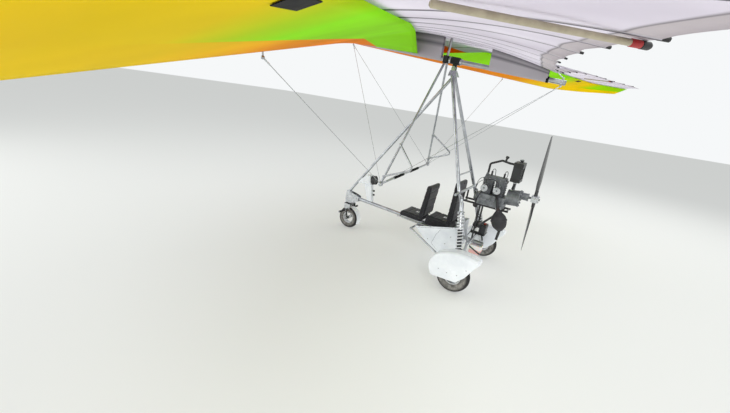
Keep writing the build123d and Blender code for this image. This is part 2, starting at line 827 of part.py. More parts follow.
# Seats, by columns: name, rear of the cushion, its front, its thickness, top of the back,
# how far the back leans aft, half width
seats = (
    ("front_seat", 700, 1060, 75, 540, 40, 200),
    ("rear_seat", 300, 676, 130, 700, 0, 200),
)
for name, rear, front, thick, back_top, lean, half in seats:
    floor_rear = base_height(rear) + rail_lift + seat_rail_radius + 2.5 * seat_gap
    floor_front = base_height(front) + rail_lift + seat_rail_radius + 2.5 * seat_gap
    with BuildPart() as seat:
        with BuildSketch(Plane.XZ):
            with BuildLine():
                Polyline(
                    (rear, floor_rear),
                    (front, floor_front),
                    (front, floor_front + thick),
                    (rear + 90, floor_rear + thick),
                    (rear + 65 - lean, floor_rear + back_top),
                    (rear - lean, floor_rear + back_top),
                    close=True,
                )
            make_face()
            fillet([v for v in vertices() if v.Z > floor_rear + thick + 1 or v.X > front - 1], 20)
        extrude(amount=half, both=True)
    save(name, seat.part)

# Fairing under the seats: a wedge-shaped moulded tub, open on top, round the base tube
fairing_wall = 4
low_front, low_rear = (470, 170), (150, 300)
high_front, high_rear = (755, 486), (185, 640)
low_half, high_half = 205, 305


def wedge(grow_in, top_rise, low_rise):
    """The tub's solid, pulled in by a wall and stretched at the top for cutting."""
    with BuildPart() as piece:
        for (fx, fz), (rx, rz), half, rise in (
            (low_front, low_rear, low_half, low_rise),
            (high_front, high_rear, high_half, top_rise),
        ):
            middle = Vector((fx + rx) / 2, 0, (fz + rz) / 2)
            run = Vector(fx - rx, 0, fz - rz)
            plane = Plane(origin=middle, x_dir=run, z_dir=run.cross(Vector(0, 1, 0)))
            with BuildSketch(plane.offset(rise)):
                RectangleRounded(run.length - 2 * grow_in, 2 * (half - grow_in), 34 - grow_in)
        loft()
    return piece.part


with BuildPart() as fairing:
    add(wedge(0, 0, 0))
    add(wedge(fairing_wall, 1, fairing_wall), mode=Mode.SUBTRACT)
    with BuildSketch(Plane(
        origin=(base_tube_rear_x, 0, base_tube_rear_height),
        z_dir=(cos(base_slope), 0, sin(base_slope)),
    )):
        Circle(base_tube_radius + seat_gap)
    extrude(amount=2000, mode=Mode.SUBTRACT)
save("underseat_fairing", fairing.part)


# Instrument pod: a moulded column on the base tube with a head that leans on the front strut
def strut_rear_x(z):
    """Rear face of the front strut at a height."""
    slope = (strut_foot[0] - strut_top[0]) / (strut_top[2] - strut_foot[2])
    centre = strut_foot[0] - (z - strut_foot[2]) * slope
    return centre - front_strut_radius / cos(atan2(slope, 1)) - seat_gap


column_rear = steer_x - 430
column_front = steer_x - 340
tube_top = base_tube_radius + 1.5
face_low = Vector(steer_x - 390, 0, head_block_top + 190)
face_high = Vector(steer_x - 358, 0, head_block_top + 330)
column_half = 34
pod_half = 60
pod_low = head_block_top + 175
pod_mid = head_block_top + 250
with BuildPart() as pod:
    with BuildSketch(Plane.XZ):
        with BuildLine():
            Polyline(
                (column_rear, base_height(column_rear) + tube_top),
                (column_front, base_height(column_front) + tube_top),
                (steer_x - 255, pod_low),
                (steer_x - 370, pod_mid),
                close=True,
            )
        make_face()
    extrude(amount=column_half, both=True)
    fillet(pod.edges().filter_by(lambda e: abs(abs(e.center().Y) - column_half) < 1), 14)
    with BuildSketch(Plane.XZ):
        with BuildLine():
            Polyline(
                (face_low.X, face_low.Z),
                (strut_rear_x(pod_low), pod_low),
                (strut_rear_x(pod_mid), pod_mid),
                (steer_x - 300, face_high.Z + 5),
                (face_high.X, face_high.Z),
                close=True,
            )
        make_face()
    extrude(amount=pod_half, both=True)
    fillet(pod.edges().filter_by(lambda e: abs(abs(e.center().Y) - pod_half) < 1), 22)
save("instrument_pod", pod.part)

# Instrument binnacle: a round case on the rear of the pod's head
face_run = (face_high - face_low).normalized()
face_out = Vector(-face_run.Z, 0, face_run.X)
with BuildPart() as binnacle:
    case_plane = Plane(
        origin=(face_low + face_high) * 0.5 + face_out * seat_gap, x_dir=(0, 1, 0), z_dir=face_out
    )
    with BuildSketch(case_plane):
        Circle(66)
    extrude(amount=52)
    with BuildSketch(case_plane.offset(46)):
        Circle(58)
    extrude(amount=6, mode=Mode.SUBTRACT)
save("instrument_dial", binnacle.part)


# Main gear: drag beam, then on each side an arm, drag strut, hub and axle in one weldment
drag_beam_x = 800
drag_beam_half = 280
drag_beam_radius = 14
drag_beam_z = base_height(drag_beam_x) - (base_tube_radius + drag_beam_radius) / cos(base_slope)
drag_beam_z = drag_beam_z - seat_gap
drag_ball = 20
with BuildPart() as drag_beam:
    add(rod(
        (drag_beam_x, -drag_beam_half, drag_beam_z), (drag_beam_x, drag_beam_half, drag_beam_z),
        drag_beam_radius,
    ))
    for side, sign in wheel_sides:
        with Locations((drag_beam_x, sign * drag_beam_half, drag_beam_z)):
            Sphere(drag_ball)
save("drag_beam", drag_beam.part)

rim_inner = track / 2 - main_tyre_width / 2 * 0.72
rim_outer = track / 2 + main_tyre_width / 2 * 0.72
hub_inner_y = 590
shock_low = Vector(0, 585, 268)
shock_high = Vector(cross_tube_x - 50, 356, cross_tube_height - 44)
shock_ball = 16
axle_beam_z = base_height(axle_beam_x)
axle_beam_z = axle_beam_z + (base_tube_radius + lower_leg_radius) / cos(base_slope) + seat_gap
arm_ball = lower_leg_radius + 6
with BuildPart() as gear:
    with BuildSketch(Plane.XZ.offset(-hub_inner_y)):
        with Locations((0, main_tyre_radius)):
            Circle(hub_radius)
    extrude(amount=-(rim_inner - side_clearance - hub_inner_y))
    with BuildSketch(Plane.XZ.offset(-hub_inner_y)):
        with Locations((0, main_tyre_radius)):
            Circle(axle_radius)
    extrude(amount=-(rim_outer + side_clearance + 12 - hub_inner_y))
    with BuildSketch(Plane.XZ.offset(-rim_outer - side_clearance)):
        with Locations((0, main_tyre_radius)):
            RegularPolygon(18, 6)
    extrude(amount=-12)
    add(rod(
        (axle_beam_x, axle_beam_half_width, axle_beam_z), (0, hub_inner_y + 12, main_tyre_radius), 17
    ))
    add(rod(
        (drag_beam_x, drag_beam_half, drag_beam_z), (0, hub_inner_y + 12, main_tyre_radius), 12
    ))
    add(rod((0, 585, main_tyre_radius), shock_low, 10))
    with Locations(Location(shock_low)):
        Sphere(shock_ball)
    with Locations((axle_beam_x, axle_beam_half_width, axle_beam_z)):
        Sphere(arm_ball + seat_gap, mode=Mode.SUBTRACT)
    with Locations((drag_beam_x, drag_beam_half, drag_beam_z)):
        Sphere(drag_ball + seat_gap, mode=Mode.SUBTRACT)
save("gear_arm_port", gear.part)
save("gear_arm_starboard", mirror(gear.part, about=Plane.XZ))


# Coil-over shocks: rod, spring and body, revolved about the line between their two eyes
shock_run = shock_high - shock_low
coil_low, coil_high, coil_turns, coil_radius = 215, 640, 11, 44
with BuildPart() as shock:
    with BuildSketch(Plane.XZ):
        pitch = (coil_high - coil_low) / coil_turns
        ribs = []
        for turn in range(coil_turns):
            ribs += [
                (coil_radius - 14, coil_low + pitch * turn),
                (coil_radius, coil_low + pitch * (turn + 0.5)),
            ]
        with BuildLine():
            Polyline(
                (0, 10), (20, 10), (20, coil_low - 60), (34, coil_low - 50), (34, coil_low - 10),
                (coil_radius + 2, coil_low - 10), *ribs, (coil_radius - 14, coil_high),
                (coil_radius, coil_high), (coil_radius, coil_high + 14), (14, coil_high + 14),
                (14, shock_run.length - 8), (0, shock_run.length - 8), close=True,
            )
        make_face()
    revolve(axis=Axis.Z)
shock_place = Plane(origin=shock_low, z_dir=shock_run)
shock_part = shock_place.location * shock.part
with BuildPart() as shock_port:
    add(shock_part)
    with Locations(Location(shock_low)):
        Sphere(shock_ball + seat_gap, mode=Mode.SUBTRACT)
    with Locations(Location(shock_high)):
        Sphere(shock_ball + seat_gap, mode=Mode.SUBTRACT)
save("shock_port", shock_port.part)
save("shock_starboard", mirror(shock_port.part, about=Plane.XZ))

# Rear frame: cross tube, lower legs and axle beam, welded, with lugs for the shocks
with BuildPart() as rear_frame:
    half = cross_tube_half_spread + cross_tube_overhang
    shoulder = half - cross_tube_stub_length
    add(rod(
        (axle_beam_x, -axle_beam_half_width, axle_beam_z),
        (axle_beam_x, axle_beam_half_width, axle_beam_z),
        lower_leg_radius,
    ))
    with Locations(
        (axle_beam_x, -axle_beam_half_width, axle_beam_z),
        (axle_beam_x, axle_beam_half_width, axle_beam_z),
    ):
        Sphere(arm_ball, rotation=(0, 90, 0))
    for reach, radius in ((shoulder, cross_tube_radius), (half, cross_tube_stub_radius)):
        add(rod(
            (cross_tube_x, -reach, cross_tube_height), (cross_tube_x, reach, cross_tube_height),
            radius,
        ))
    for side, sign in wheel_sides:
        add(rod(
            (axle_beam_x, sign * (axle_beam_half_width - arm_ball), axle_beam_z),
            (cross_tube_x, sign * cross_tube_half_spread, cross_tube_height),
            lower_leg_radius - 5,
        ))
    for side, sign in wheel_sides:
        lug = Vector(shock_high.X, sign * shock_high.Y, shock_high.Z)
        add(rod((cross_tube_x - 4, lug.Y, cross_tube_height), lug, 9))
    with Locations(
        (shock_high.X, -shock_high.Y, shock_high.Z), (shock_high.X, shock_high.Y, shock_high.Z)
    ):
        Sphere(shock_ball, rotation=(0, 90, 0))
save("rear_frame", rear_frame.part)


# Wheel spats: a rounded shell over each main wheel, open below and at the rear
def spat_outline(inset):
    Polyline((255 - inset, 152), (-60, 165))
    Line((-60, 165), (-190, 300))
    Line((-190, 300), (-268 + inset, 440))
    ThreePointArc((-268 + inset, 440), (-268 + inset, 470 - inset / 2), (-235 + inset, 492 - inset))
    ThreePointArc((-235 + inset, 492 - inset), (0, 512 - inset), (190 - inset, 448 - inset))
    ThreePointArc(
        (190 - inset, 448 - inset), (298 - inset, 300), (255 - inset, 152)
    )


spat_half = 92
spat_round = 34
# The hollow is cut in steps that follow the rounded sides: inset from the outline, half width
spat_steps = ((5, 70), (12, 78), (24, 86))
with BuildPart() as spat:
    with BuildSketch(Plane.XZ.offset(-track / 2)):
        with BuildLine():
            spat_outline(0)
        make_face()
    extrude(amount=spat_half, both=True)
    crown = [
        e for e in spat.edges().filter_by(GeomType.CIRCLE)
        if abs(abs(e.center().Y - track / 2) - spat_half) < 1
    ]
    fillet(crown, spat_round)
    for inset, half in spat_steps:
        with BuildSketch(Plane.XZ.offset(-track / 2)):
            with BuildLine():
                spat_outline(inset)
            make_face()
            with BuildLine():
                Polyline(
                    (255 - inset, 100), (-90, 100), (-268 + inset, 330), (-268 + inset, 440),
                    (-60, 230), (255 - inset, 230), close=True,
                )
            make_face()
        extrude(amount=half, both=True, mode=Mode.SUBTRACT)
    with BuildSketch(Plane.XZ.offset(-hub_inner_y)):
        with Locations((0, main_tyre_radius)):
            Circle(hub_radius + seat_gap)
    extrude(amount=-80, mode=Mode.SUBTRACT)
save("spat_port", spat.part)
save("spat_starboard", mirror(spat.part, about=Plane.XZ))


# Engine mount: two bearers on posts from the axle beam, tied to the cross tube
bearer_y = 90
bearer_radius = 13
bearer_front = cross_tube_x + 16
bearer_rear = -320
tray_z = 575
post_low = axle_beam_z + lower_leg_radius + seat_gap
with BuildPart() as engine_mount:
    for side, sign in wheel_sides:
        y = sign * bearer_y
        add(rod((bearer_front, y, bearer_z), (bearer_rear, y, bearer_z), bearer_radius))
        add(rod((axle_beam_x, y, post_low), (axle_beam_x, y, bearer_z), bearer_radius - 2))
        add(rod(
            (cross_tube_x, y, bearer_z),
            (cross_tube_x, y, cross_tube_height - cross_tube_radius - seat_gap),
            bearer_radius - 2,
        ))
        add(rod((axle_beam_x, y, tray_z + 60), (bearer_rear + 60, y, bearer_z), bearer_radius - 4))
    for x in (bearer_front - 40, bearer_rear + 20):
        add(rod((x, -bearer_y, bearer_z), (x, bearer_y, bearer_z), bearer_radius - 3))
    with BuildSketch(Plane.XY.offset(tray_z - 5)):
        with Locations((-25, 0)):
            Rectangle(190, 2 * bearer_y + 20)
    extrude(amount=5)
save("engine_mount", engine_mount.part)

# Battery box on the tray
with BuildPart() as battery_box:
    with BuildSketch(Plane.XY.offset(tray_z + seat_gap)):
        with Locations((-30, 0)):
            RectangleRounded(170, 140, 8)
    extrude(amount=125)
    with BuildSketch(Plane.XY.offset(tray_z + seat_gap + 98)):
        with Locations((-30, 0)):
            RectangleRounded(178, 148, 10)
    extrude(amount=12)
    with BuildSketch(Plane.XY.offset(tray_z + seat_gap + 120)):
        with Locations((-85, 0), (25, 0)):
            RectangleRounded(26, 40, 6)
    extrude(amount=16)
save("battery_box", battery_box.part)

# Overflow bottle hung under the rear of the base tube
bottle_top = base_height(-110) - base_tube_radius - 1
with BuildPart() as bottle:
    with BuildSketch(Plane.XY.offset(bottle_top - 120)):
        with Locations((-45, 0)):
            RectangleRounded(150, 140, 24)
    extrude(amount=120)
    fillet(bottle.edges().filter_by(lambda e: abs(e.center().Z - bottle_top + 120) < 1), 18)
    for rise, radius, tall in ((-4, 14, 16), (8, 18, 20)):
        with BuildSketch(Plane.XY.offset(bottle_top + rise)):
            with Locations((-45, -50)):
                Circle(radius)
        extrude(amount=tall)
save("overflow_bottle", bottle.part)

# Crankcase on the bearers: a ribbed case in two halves, with the starter housing in front
case_base = bearer_z + bearer_radius + seat_gap
case_height = 140
case_half = 125
case_flange = 8
starter_radius = 62
engine_front, engine_rear = 90, -250
engine_middle = (engine_front + engine_rear) / 2
engine_length = engine_front - engine_rear
case_middle = case_base + case_height / 2
with BuildPart() as crankcase:
    with BuildSketch(Plane.XY.offset(case_base)):
        with Locations((engine_middle, 0)):
            RectangleRounded(engine_length, 2 * case_half, 30)
    extrude(amount=case_height)
    with BuildSketch(Plane.XY.offset(case_middle - case_flange)):
        with Locations((engine_middle, 0)):
            RectangleRounded(engine_length - 4, 2 * (case_half + case_flange), 34)
    extrude(amount=2 * case_flange)
    with BuildSketch(Plane.XY.offset(case_base + 6)):
        with GridLocations(56, 0, 5, 1):
            with Locations((engine_middle, 0)):
                Rectangle(8, 2 * (case_half + case_flange) - 4)
    extrude(amount=case_height - 12)
    for reach, radius in ((34, starter_radius), (44, starter_radius - 12), (52, 20)):
        with BuildSketch(Plane.YZ.offset(engine_front - 2)):
            with Locations((0, case_middle)):
                Circle(radius)
        extrude(amount=reach)
save("crankcase", crankcase.part)

# Cylinders: two barrels with flanges, cooling-jacket ribs, and port bosses on the port side
cylinder_base = case_base + case_height + seat_gap
cylinder_height = 175
cylinder_places = (0, -150)
cylinder_length = 130
cylinder_half = 80
barrel_inset = 6
exhaust_z = cylinder_base + 30
intake_z = cylinder_base + 90
with BuildPart() as cylinders:
    for x in cylinder_places:
        with BuildSketch(Plane.XY.offset(cylinder_base)):
            with Locations((x, 0)):
                RectangleRounded(
                    cylinder_length - 2 * barrel_inset, 2 * (cylinder_half - barrel_inset), 20
                )
        extrude(amount=cylinder_height)
        for rise, thick in ((0, 12), (42, 5), (70, 5), (98, 5), (126, 5), (161, 14)):
            with BuildSketch(Plane.XY.offset(cylinder_base + rise)):
                with Locations((x, 0)):
                    RectangleRounded(cylinder_length, 2 * cylinder_half - 2, 22)
            extrude(amount=thick)
        for boss_z, radius in ((exhaust_z, 26), (intake_z, 30)):
            with BuildSketch(Plane.XZ.offset(-cylinder_half + 20)):
                with Locations((x, boss_z)):
                    Circle(radius)
            extrude(amount=-20)
save("cylinders", cylinders.part)

# Cylinder head: a flanged cover over both cylinders, with two spark plugs and a water outlet
head_height = 60
head_base = cylinder_base + cylinder_height + seat_gap
head_top_z = head_base + head_height
water_outlet_x = 40
plug_rise = 34
with BuildPart() as cylinder_head:
    with BuildSketch(Plane.XY.offset(head_base)):
        with Locations((sum(cylinder_places) / 2, 0)):
            RectangleRounded(290, 150, 20)
    extrude(amount=16)
    with BuildSketch(Plane.XY.offset(head_base + 15)):
        with Locations((sum(cylinder_places) / 2, 0)):
            RectangleRounded(272, 132, 20)
    extrude(amount=head_height - 24, taper=12)
    with BuildSketch(Plane.XY.offset(head_base + 10)):
        with Locations((water_outlet_x, 0)):
            Circle(20)
    extrude(amount=head_height - 10)
    for x in cylinder_places:
        for radius, top in ((13, head_height - 2), (7, head_height + plug_rise)):
            with BuildSketch(Plane.XY.offset(head_base + 20)):
                with Locations((x - 14, 34)):
                    Circle(radius)
            extrude(amount=top - 20)
save("cylinder_head", cylinder_head.part)

# Carburettors on the port side: manifold, flange, body, float bowl, slide cap and air filter
with BuildPart() as carburettors:
    for x in cylinder_places:
        for start, length, radius in (
            (cylinder_half + seat_gap, 40, 21), (cylinder_half + 30, 8, 31),
            (cylinder_half + 36, 54, 24), (cylinder_half + 88, 8, 32),
        ):
            with BuildSketch(Plane.XZ.offset(-start)):
                with Locations((x, intake_z)):
                    Circle(radius)
            extrude(amount=-length)
        for start, length, radius in ((-34, 34, 22), (0, 46, 17), (40, 14, 21)):
            with BuildSketch(Plane.XY.offset(intake_z + start)):
                with Locations((x, cylinder_half + 62)):
                    Circle(radius)
            extrude(amount=length)
        with BuildSketch(Plane.XZ.offset(-cylinder_half - 95)):
            with Locations((x, intake_z)):
                Circle(34)
        with BuildSketch(Plane.XZ.offset(-cylinder_half - 150)):
            with Locations((x, intake_z)):
                Circle(42)
        loft()
save("carburettors", carburettors.part)

# Gearbox behind the engine: flanged housing, bearing neck and propeller shaft, with two posts
# that carry the radiator
gear_front = engine_rear - seat_gap
gear_length = 150
neck_length = 90
radiator_x = -300
radiator_base = head_top_z - 14
with BuildPart() as gearbox:
    with BuildSketch(Plane.YZ.offset(gear_front)):
        with Locations((0, propeller_height - 60)):
            Circle(95)
    with BuildSketch(Plane.YZ.offset(gear_front - gear_length)):
        with Locations((0, propeller_height - 40)):
            Circle(100)
    loft()
    for start, thick, radius, drop in ((0, 12, 103, 60), (gear_length - 12, 12, 106, 40)):
        with BuildSketch(Plane.YZ.offset(gear_front - start)):
            with Locations((0, propeller_height - drop)):
                Circle(radius)
        extrude(amount=-thick)
    with BuildSketch(Plane.YZ.offset(gear_front - gear_length)):
        with Locations((0, propeller_height - 40)):
            with PolarLocations(88, 8):
                Circle(9)
    extrude(amount=-8)
    for start, length, radius in (
        (gear_length, 16, 60), (gear_length, neck_length, 44), (gear_length + neck_length - 12, 12, 48)
    ):
        with BuildSketch(Plane.YZ.offset(gear_front - start)):
            with Locations((0, propeller_height)):
                Circle(radius)
        extrude(amount=-length)
    with BuildSketch(Plane.YZ.offset(gear_front - gear_length - neck_length)):
        with Locations((0, propeller_height)):
            Circle(shaft_radius)
    extrude(amount=propeller_x - 54 - (gear_front - gear_length - neck_length))
    for y in (-60, 0):
        add(rod((radiator_x, y, propeller_height), (radiator_x, y, radiator_base - seat_gap), 8))
save("gearbox", gearbox.part)

# Radiator above the gearbox: a slatted core between two tanks and two side channels
radiator_depth = 110
radiator_width = 250
radiator_height = 230
low_tank = 40
high_tank = 60
core_depth = 76
with BuildPart() as radiator:
    for start, tall, depth, width in (
        (0, low_tank, radiator_depth, radiator_width),
        (radiator_height - high_tank, high_tank, radiator_depth, radiator_width),
        (low_tank - 5, radiator_height - low_tank - high_tank + 10, core_depth, radiator_width - 8),
    ):
        with BuildSketch(Plane.XY.offset(radiator_base + start)):
            with Locations((radiator_x, 0)):
                RectangleRounded(depth, width, 12)
        extrude(amount=tall)
    core_height = radiator_height - low_tank - high_tank
    for slat in range(10):
        with BuildSketch(Plane.XY.offset(radiator_base + low_tank + core_height * (slat + 0.35) / 10)):
            with Locations((radiator_x, 0)):
                Rectangle(core_depth + 12, radiator_width - 20)
        extrude(amount=4)
    for face in (1, -1):
        with BuildSketch(Plane.XZ.offset(-face * (radiator_width / 2 - 9))):
            with Locations((radiator_x, radiator_base + radiator_height / 2)):
                Rectangle(radiator_depth - 6, radiator_height - 20)
        extrude(amount=-face * 8)
    for rise, radius, tall in ((-4, 17, 20), (12, 24, 12)):
        with BuildSketch(Plane.XY.offset(radiator_base + radiator_height + rise)):
            with Locations((radiator_x, -70)):
                Circle(radius)
        extrude(amount=tall)
save("radiator", radiator.part)

# Coolant hoses: an arch from the head to the radiator, and two hoses down to the gearbox
with BuildPart() as hoses:
    add(bent_rod([
        (water_outlet_x, 0, head_top_z + seat_gap), (water_outlet_x, 0, head_top_z + 131),
        (-90, 0, head_top_z + 196),
        (-180, 0, head_top_z + 181), (radiator_x + radiator_depth / 2 + seat_gap, 0, head_top_z + 181),
    ], 13, 30))
    add(bent_rod([
        (radiator_x, 60, radiator_base - seat_gap), (radiator_x, 60, radiator_base - 45),
        (radiator_x + 10, 40, propeller_height + 56),
    ], 13, 20))
save("coolant_hoses", hoses.part)

# Muffler and exhaust pipe on the port side
muffler_top = Vector(-215, 205, bearer_z + 25)
muffler_axis = Vector(-90, 0, -260).normalized()
with BuildPart() as muffler_shape:
    with BuildSketch(Plane.XZ):
        with BuildLine():
            Polyline((0, 0), (24, 0), (24, 12), (62, 60))
            ThreePointArc((62, 60), (82, 92), (90, 128))
            Polyline((90, 128), (95, 128), (95, 138), (90, 138))
            ThreePointArc((90, 138), (85, 180), (70, 220))
            Polyline((70, 220), (30, 262), (0, 262), (0, 0))
        make_face()
    revolve(axis=Axis.Z)
muffler_plane = Plane(origin=muffler_top, z_dir=muffler_axis)
muffler_tail = muffler_top + muffler_axis * 250
with BuildPart() as muffler:
    add(muffler_plane.location * muffler_shape.part)
    add(rod(muffler_tail, (muffler_tail.X + 12, muffler_tail.Y, muffler_tail.Z - 135), 16))
save("muffler", muffler.part)
with BuildPart() as exhaust:
    add(bent_rod([
        (cylinder_places[1], cylinder_half + seat_gap, exhaust_z),
        (cylinder_places[1], cylinder_half + 70, exhaust_z),
        muffler_top - muffler_axis * 110, muffler_top - muffler_axis * seat_gap,
    ], 18, 30))
save("exhaust_pipe", exhaust.part)

# Propeller: a clamped hub and two twisted blades
hub_half_length = 40
hub_steps = ((0, 50), (8, 50), (8, 40), (16, 40), (16, 52), (64, 52), (64, 40), (72, 40), (72, 48))
with BuildPart() as hub:
    with BuildSketch(Plane.XZ):
        with BuildLine():
            Polyline(
                *[(propeller_x - hub_half_length + along, radius) for along, radius in hub_steps],
                (propeller_x + hub_half_length, 48),
                (propeller_x + hub_half_length, shaft_radius + running_clearance),
                (propeller_x - hub_half_length, shaft_radius + running_clearance),
                close=True,
            )
        make_face()
    revolve(axis=Axis.X)
hub_part = Pos(0, 0, propeller_height) * hub.part
save("propeller_hub", hub_part)

# Blade stations, by columns: distance from the shaft, chord, thickness, pitch in degrees
blade_stations = (
    (52, 40, 40, 30),
    (106, 60, 28, 30),
    (220, 94, 20, 26),
    (450, 98, 13, 19),
    (700, 80, 9, 14),
    (800, 44, 5, 12),
)
with BuildPart() as blade:
    with BuildSketch(Plane.XY.offset(blade_stations[0][0] + seat_gap)):
        Circle(20)
    extrude(amount=60)
    for distance, chord, thick, twist in blade_stations[1:]:
        chord_way = (sin(radians(twist)), cos(radians(twist)), 0)
        with BuildSketch(Plane(origin=(0, 0, distance), x_dir=chord_way, z_dir=(0, 0, 1))):
            with BuildLine():
                low = (-chord / 2, 0)
                high = (chord / 2, 0)
                ThreePointArc(low, (0, thick / 2), high)
                ThreePointArc(high, (0, -thick / 2), low)
            make_face()
    loft(ruled=True)
with BuildPart() as blades:
    for turn in (propeller_angle, propeller_angle + 180):
        add(Pos(propeller_x, 0, propeller_height) * Rot(turn, 0, 0) * blade.part)
save("propeller_blades", blades.part)
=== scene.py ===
import math

import bpy
from mathutils import Matrix, Vector


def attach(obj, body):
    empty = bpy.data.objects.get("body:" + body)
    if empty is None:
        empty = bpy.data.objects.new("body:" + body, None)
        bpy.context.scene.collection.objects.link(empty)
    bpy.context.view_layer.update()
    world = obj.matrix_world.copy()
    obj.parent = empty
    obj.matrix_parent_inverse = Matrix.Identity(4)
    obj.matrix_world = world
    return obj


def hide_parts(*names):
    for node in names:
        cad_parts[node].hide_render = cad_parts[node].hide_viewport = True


# A two-seat flex-wing microlight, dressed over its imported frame. Metres, in the frame's axes.
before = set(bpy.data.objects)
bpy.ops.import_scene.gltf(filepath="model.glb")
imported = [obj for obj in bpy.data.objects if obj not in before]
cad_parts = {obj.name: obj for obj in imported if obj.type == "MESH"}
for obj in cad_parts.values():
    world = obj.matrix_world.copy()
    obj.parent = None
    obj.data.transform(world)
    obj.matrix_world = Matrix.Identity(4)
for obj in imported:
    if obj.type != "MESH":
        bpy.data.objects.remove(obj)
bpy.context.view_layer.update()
bpy.ops.object.select_all(action="DESELECT")
scene = bpy.context.scene
scene.view_settings.view_transform = "Standard"


# Camera: hung under the port wing tip, looking forward and inboard past the trike, level with
# the sail and rolled a little, with a very wide lens.
camera_place = Vector((-0.8537, 4.6111, 2.0399))
camera_yaw, camera_pitch, camera_roll = -1.0618, -0.2975, 0.1549
focal_pixels, photo_width, sensor_width = 355.0, 730, 36
forward = Vector((
    math.cos(camera_pitch) * math.cos(camera_yaw),
    math.cos(camera_pitch) * math.sin(camera_yaw),
    math.sin(camera_pitch),
))
level_right = Vector((math.sin(camera_yaw), -math.cos(camera_yaw), 0))
level_up = level_right.cross(forward)
right = level_right * math.cos(camera_roll) + level_up * math.sin(camera_roll)
up = level_up * math.cos(camera_roll) - level_right * math.sin(camera_roll)
camera = bpy.data.objects.new("camera", bpy.data.cameras.new("camera"))
camera.data.sensor_width = sensor_width
camera.data.lens = focal_pixels * sensor_width / photo_width
camera.data.clip_start, camera.data.clip_end = 0.02, 200
camera.matrix_world = (
    Matrix.Translation(camera_place) @ Matrix((right, up, -forward)).transposed().to_4x4()
)
scene.collection.objects.link(camera)
scene.camera = camera


# Studio: a pale floor and soft light from a bright sky and three large lamps, so that the wing's
# underside is lit by what comes off the floor.
def linear(hex_colour):
    """Linear colour of an sRGB hex value."""
    parts = [int(hex_colour[i:i + 2], 16) / 255 for i in (1, 3, 5)]
    return [c / 12.92 if c <= 0.04045 else ((c + 0.055) / 1.055) ** 2.4 for c in parts] + [1]


def add_node(tree, kind, settings=None):
    """A node with its settings and inputs, an input given as (node, output) being linked."""
    made = tree.nodes.new("ShaderNode" + kind)
    for key, value in (settings or {}).items():
        if key == "stops":
            stops = made.color_ramp.elements
            while len(stops) < len(value):
                stops.new(0.5)
            for stop, (place, hex_colour) in zip(stops, value):
                stop.position, stop.color = place, linear(hex_colour)
        elif isinstance(value, tuple) and isinstance(value[0], bpy.types.Node):
            tree.links.new(value[0].outputs[value[1]], made.inputs[key])
        elif isinstance(key, int) or key in made.inputs:
            made.inputs[key].default_value = value
        else:
            setattr(made, key, value)
    return made


def new_material(name):
    """An empty material, its tree, and the places of its points for a pattern to follow."""
    made = bpy.data.materials.new(name)
    made.use_nodes = True
    tree = made.node_tree
    tree.nodes.clear()
    return made, tree, (add_node(tree, "TexCoord"), "Object")


def finish_material(made, shader, output="BSDF"):
    """Joins a shader to the material's output and gives the material back."""
    add_node(made.node_tree, "OutputMaterial", {"Surface": (shader, output)})
    return made


bpy.ops.mesh.primitive_plane_add(size=180, location=(0, 0, 0))
floor = bpy.context.object
floor.name = "floor"
paper, tree, _ = new_material("studio_floor")
path = add_node(tree, "LightPath")
matt = add_node(tree, "BsdfDiffuse", {"Color": linear("#CDCECA")})
glow = add_node(
    tree, "MapRange", {"To Min": 0.62, "To Max": 0.30, "Value": (path, "Is Camera Ray")}
)
pale = add_node(tree, "Emission", {"Color": linear("#F2F3F1"), "Strength": (glow, 0)})
lit = add_node(tree, "AddShader", {0: (matt, "BSDF"), 1: (pale, "Emission")})
floor.data.materials.append(finish_material(paper, lit, "Shader"))
bpy.ops.object.select_all(action="DESELECT")

world = bpy.data.worlds.new("studio")
scene.world = world
world.use_nodes = True
world.node_tree.nodes.clear()
tree = world.node_tree
path = add_node(tree, "LightPath")
soft = add_node(tree, "Background", {"Color": linear("#F4F7FA"), "Strength": 0.62})
seen = add_node(tree, "Background", {"Color": linear("#F6F8F9"), "Strength": 1.0})
mirrored = add_node(
    tree, "Math",
    {"operation": "MAXIMUM", 0: (path, "Is Camera Ray"), 1: (path, "Is Glossy Ray")},
)
either = add_node(
    tree, "Math", {"operation": "MAXIMUM", 0: (mirrored, 0), 1: (path, "Is Transmission Ray")}
)
mixed = add_node(
    tree, "MixShader", {0: (either, 0), 1: (soft, "Background"), 2: (seen, "Background")}
)
add_node(tree, "OutputWorld", {"Surface": (mixed, "Shader")})

for name, place, aim, size, watts in (
    ("key", (-5, 9, 7), (0, 0, 1.2), 5, 440),
    ("fill", (8, 7, 3), (0.5, 0, 1), 6, 240),
    ("top", (-3, -7, 9), (0, 0, 2), 7, 420),
):
    lamp = bpy.data.objects.new(name, bpy.data.lights.new(name, "AREA"))
    lamp.data.size = size
    lamp.data.energy = watts
    lamp.location = place
    lamp.rotation_euler = (Vector(aim) - Vector(place)).to_track_quat("-Z", "Y").to_euler()
    scene.collection.objects.link(lamp)


# The wing's own frame: the keel slopes up to the nose, and the whole wing is banked about it.
# Points are worked out on the level wing and turned to the bank.
both_sides = (("port", 1), ("starboard", -1))
keel_pitch = math.radians(5.5)
hang_top = Vector((0.758, 0, 2.621))
keel_way = Vector((math.cos(keel_pitch), 0, math.sin(keel_pitch)))
keel_up = Vector((-math.sin(keel_pitch), 0, math.cos(keel_pitch)))
bank = (
    Matrix.Translation(hang_top)
    @ Matrix.Rotation(math.radians(-5.5), 4, keel_way)
    @ Matrix.Translation(-hang_top)
)


def on_wing(sign, x, y, z):
    """A point of the level wing on one side, turned to the bank."""
    return bank @ Vector((x, sign * y, z))


def keel_height(x):
    """Height of the keel's centreline on the level wing."""
    return hang_top.z + (x - hang_top.x) * math.tan(keel_pitch)


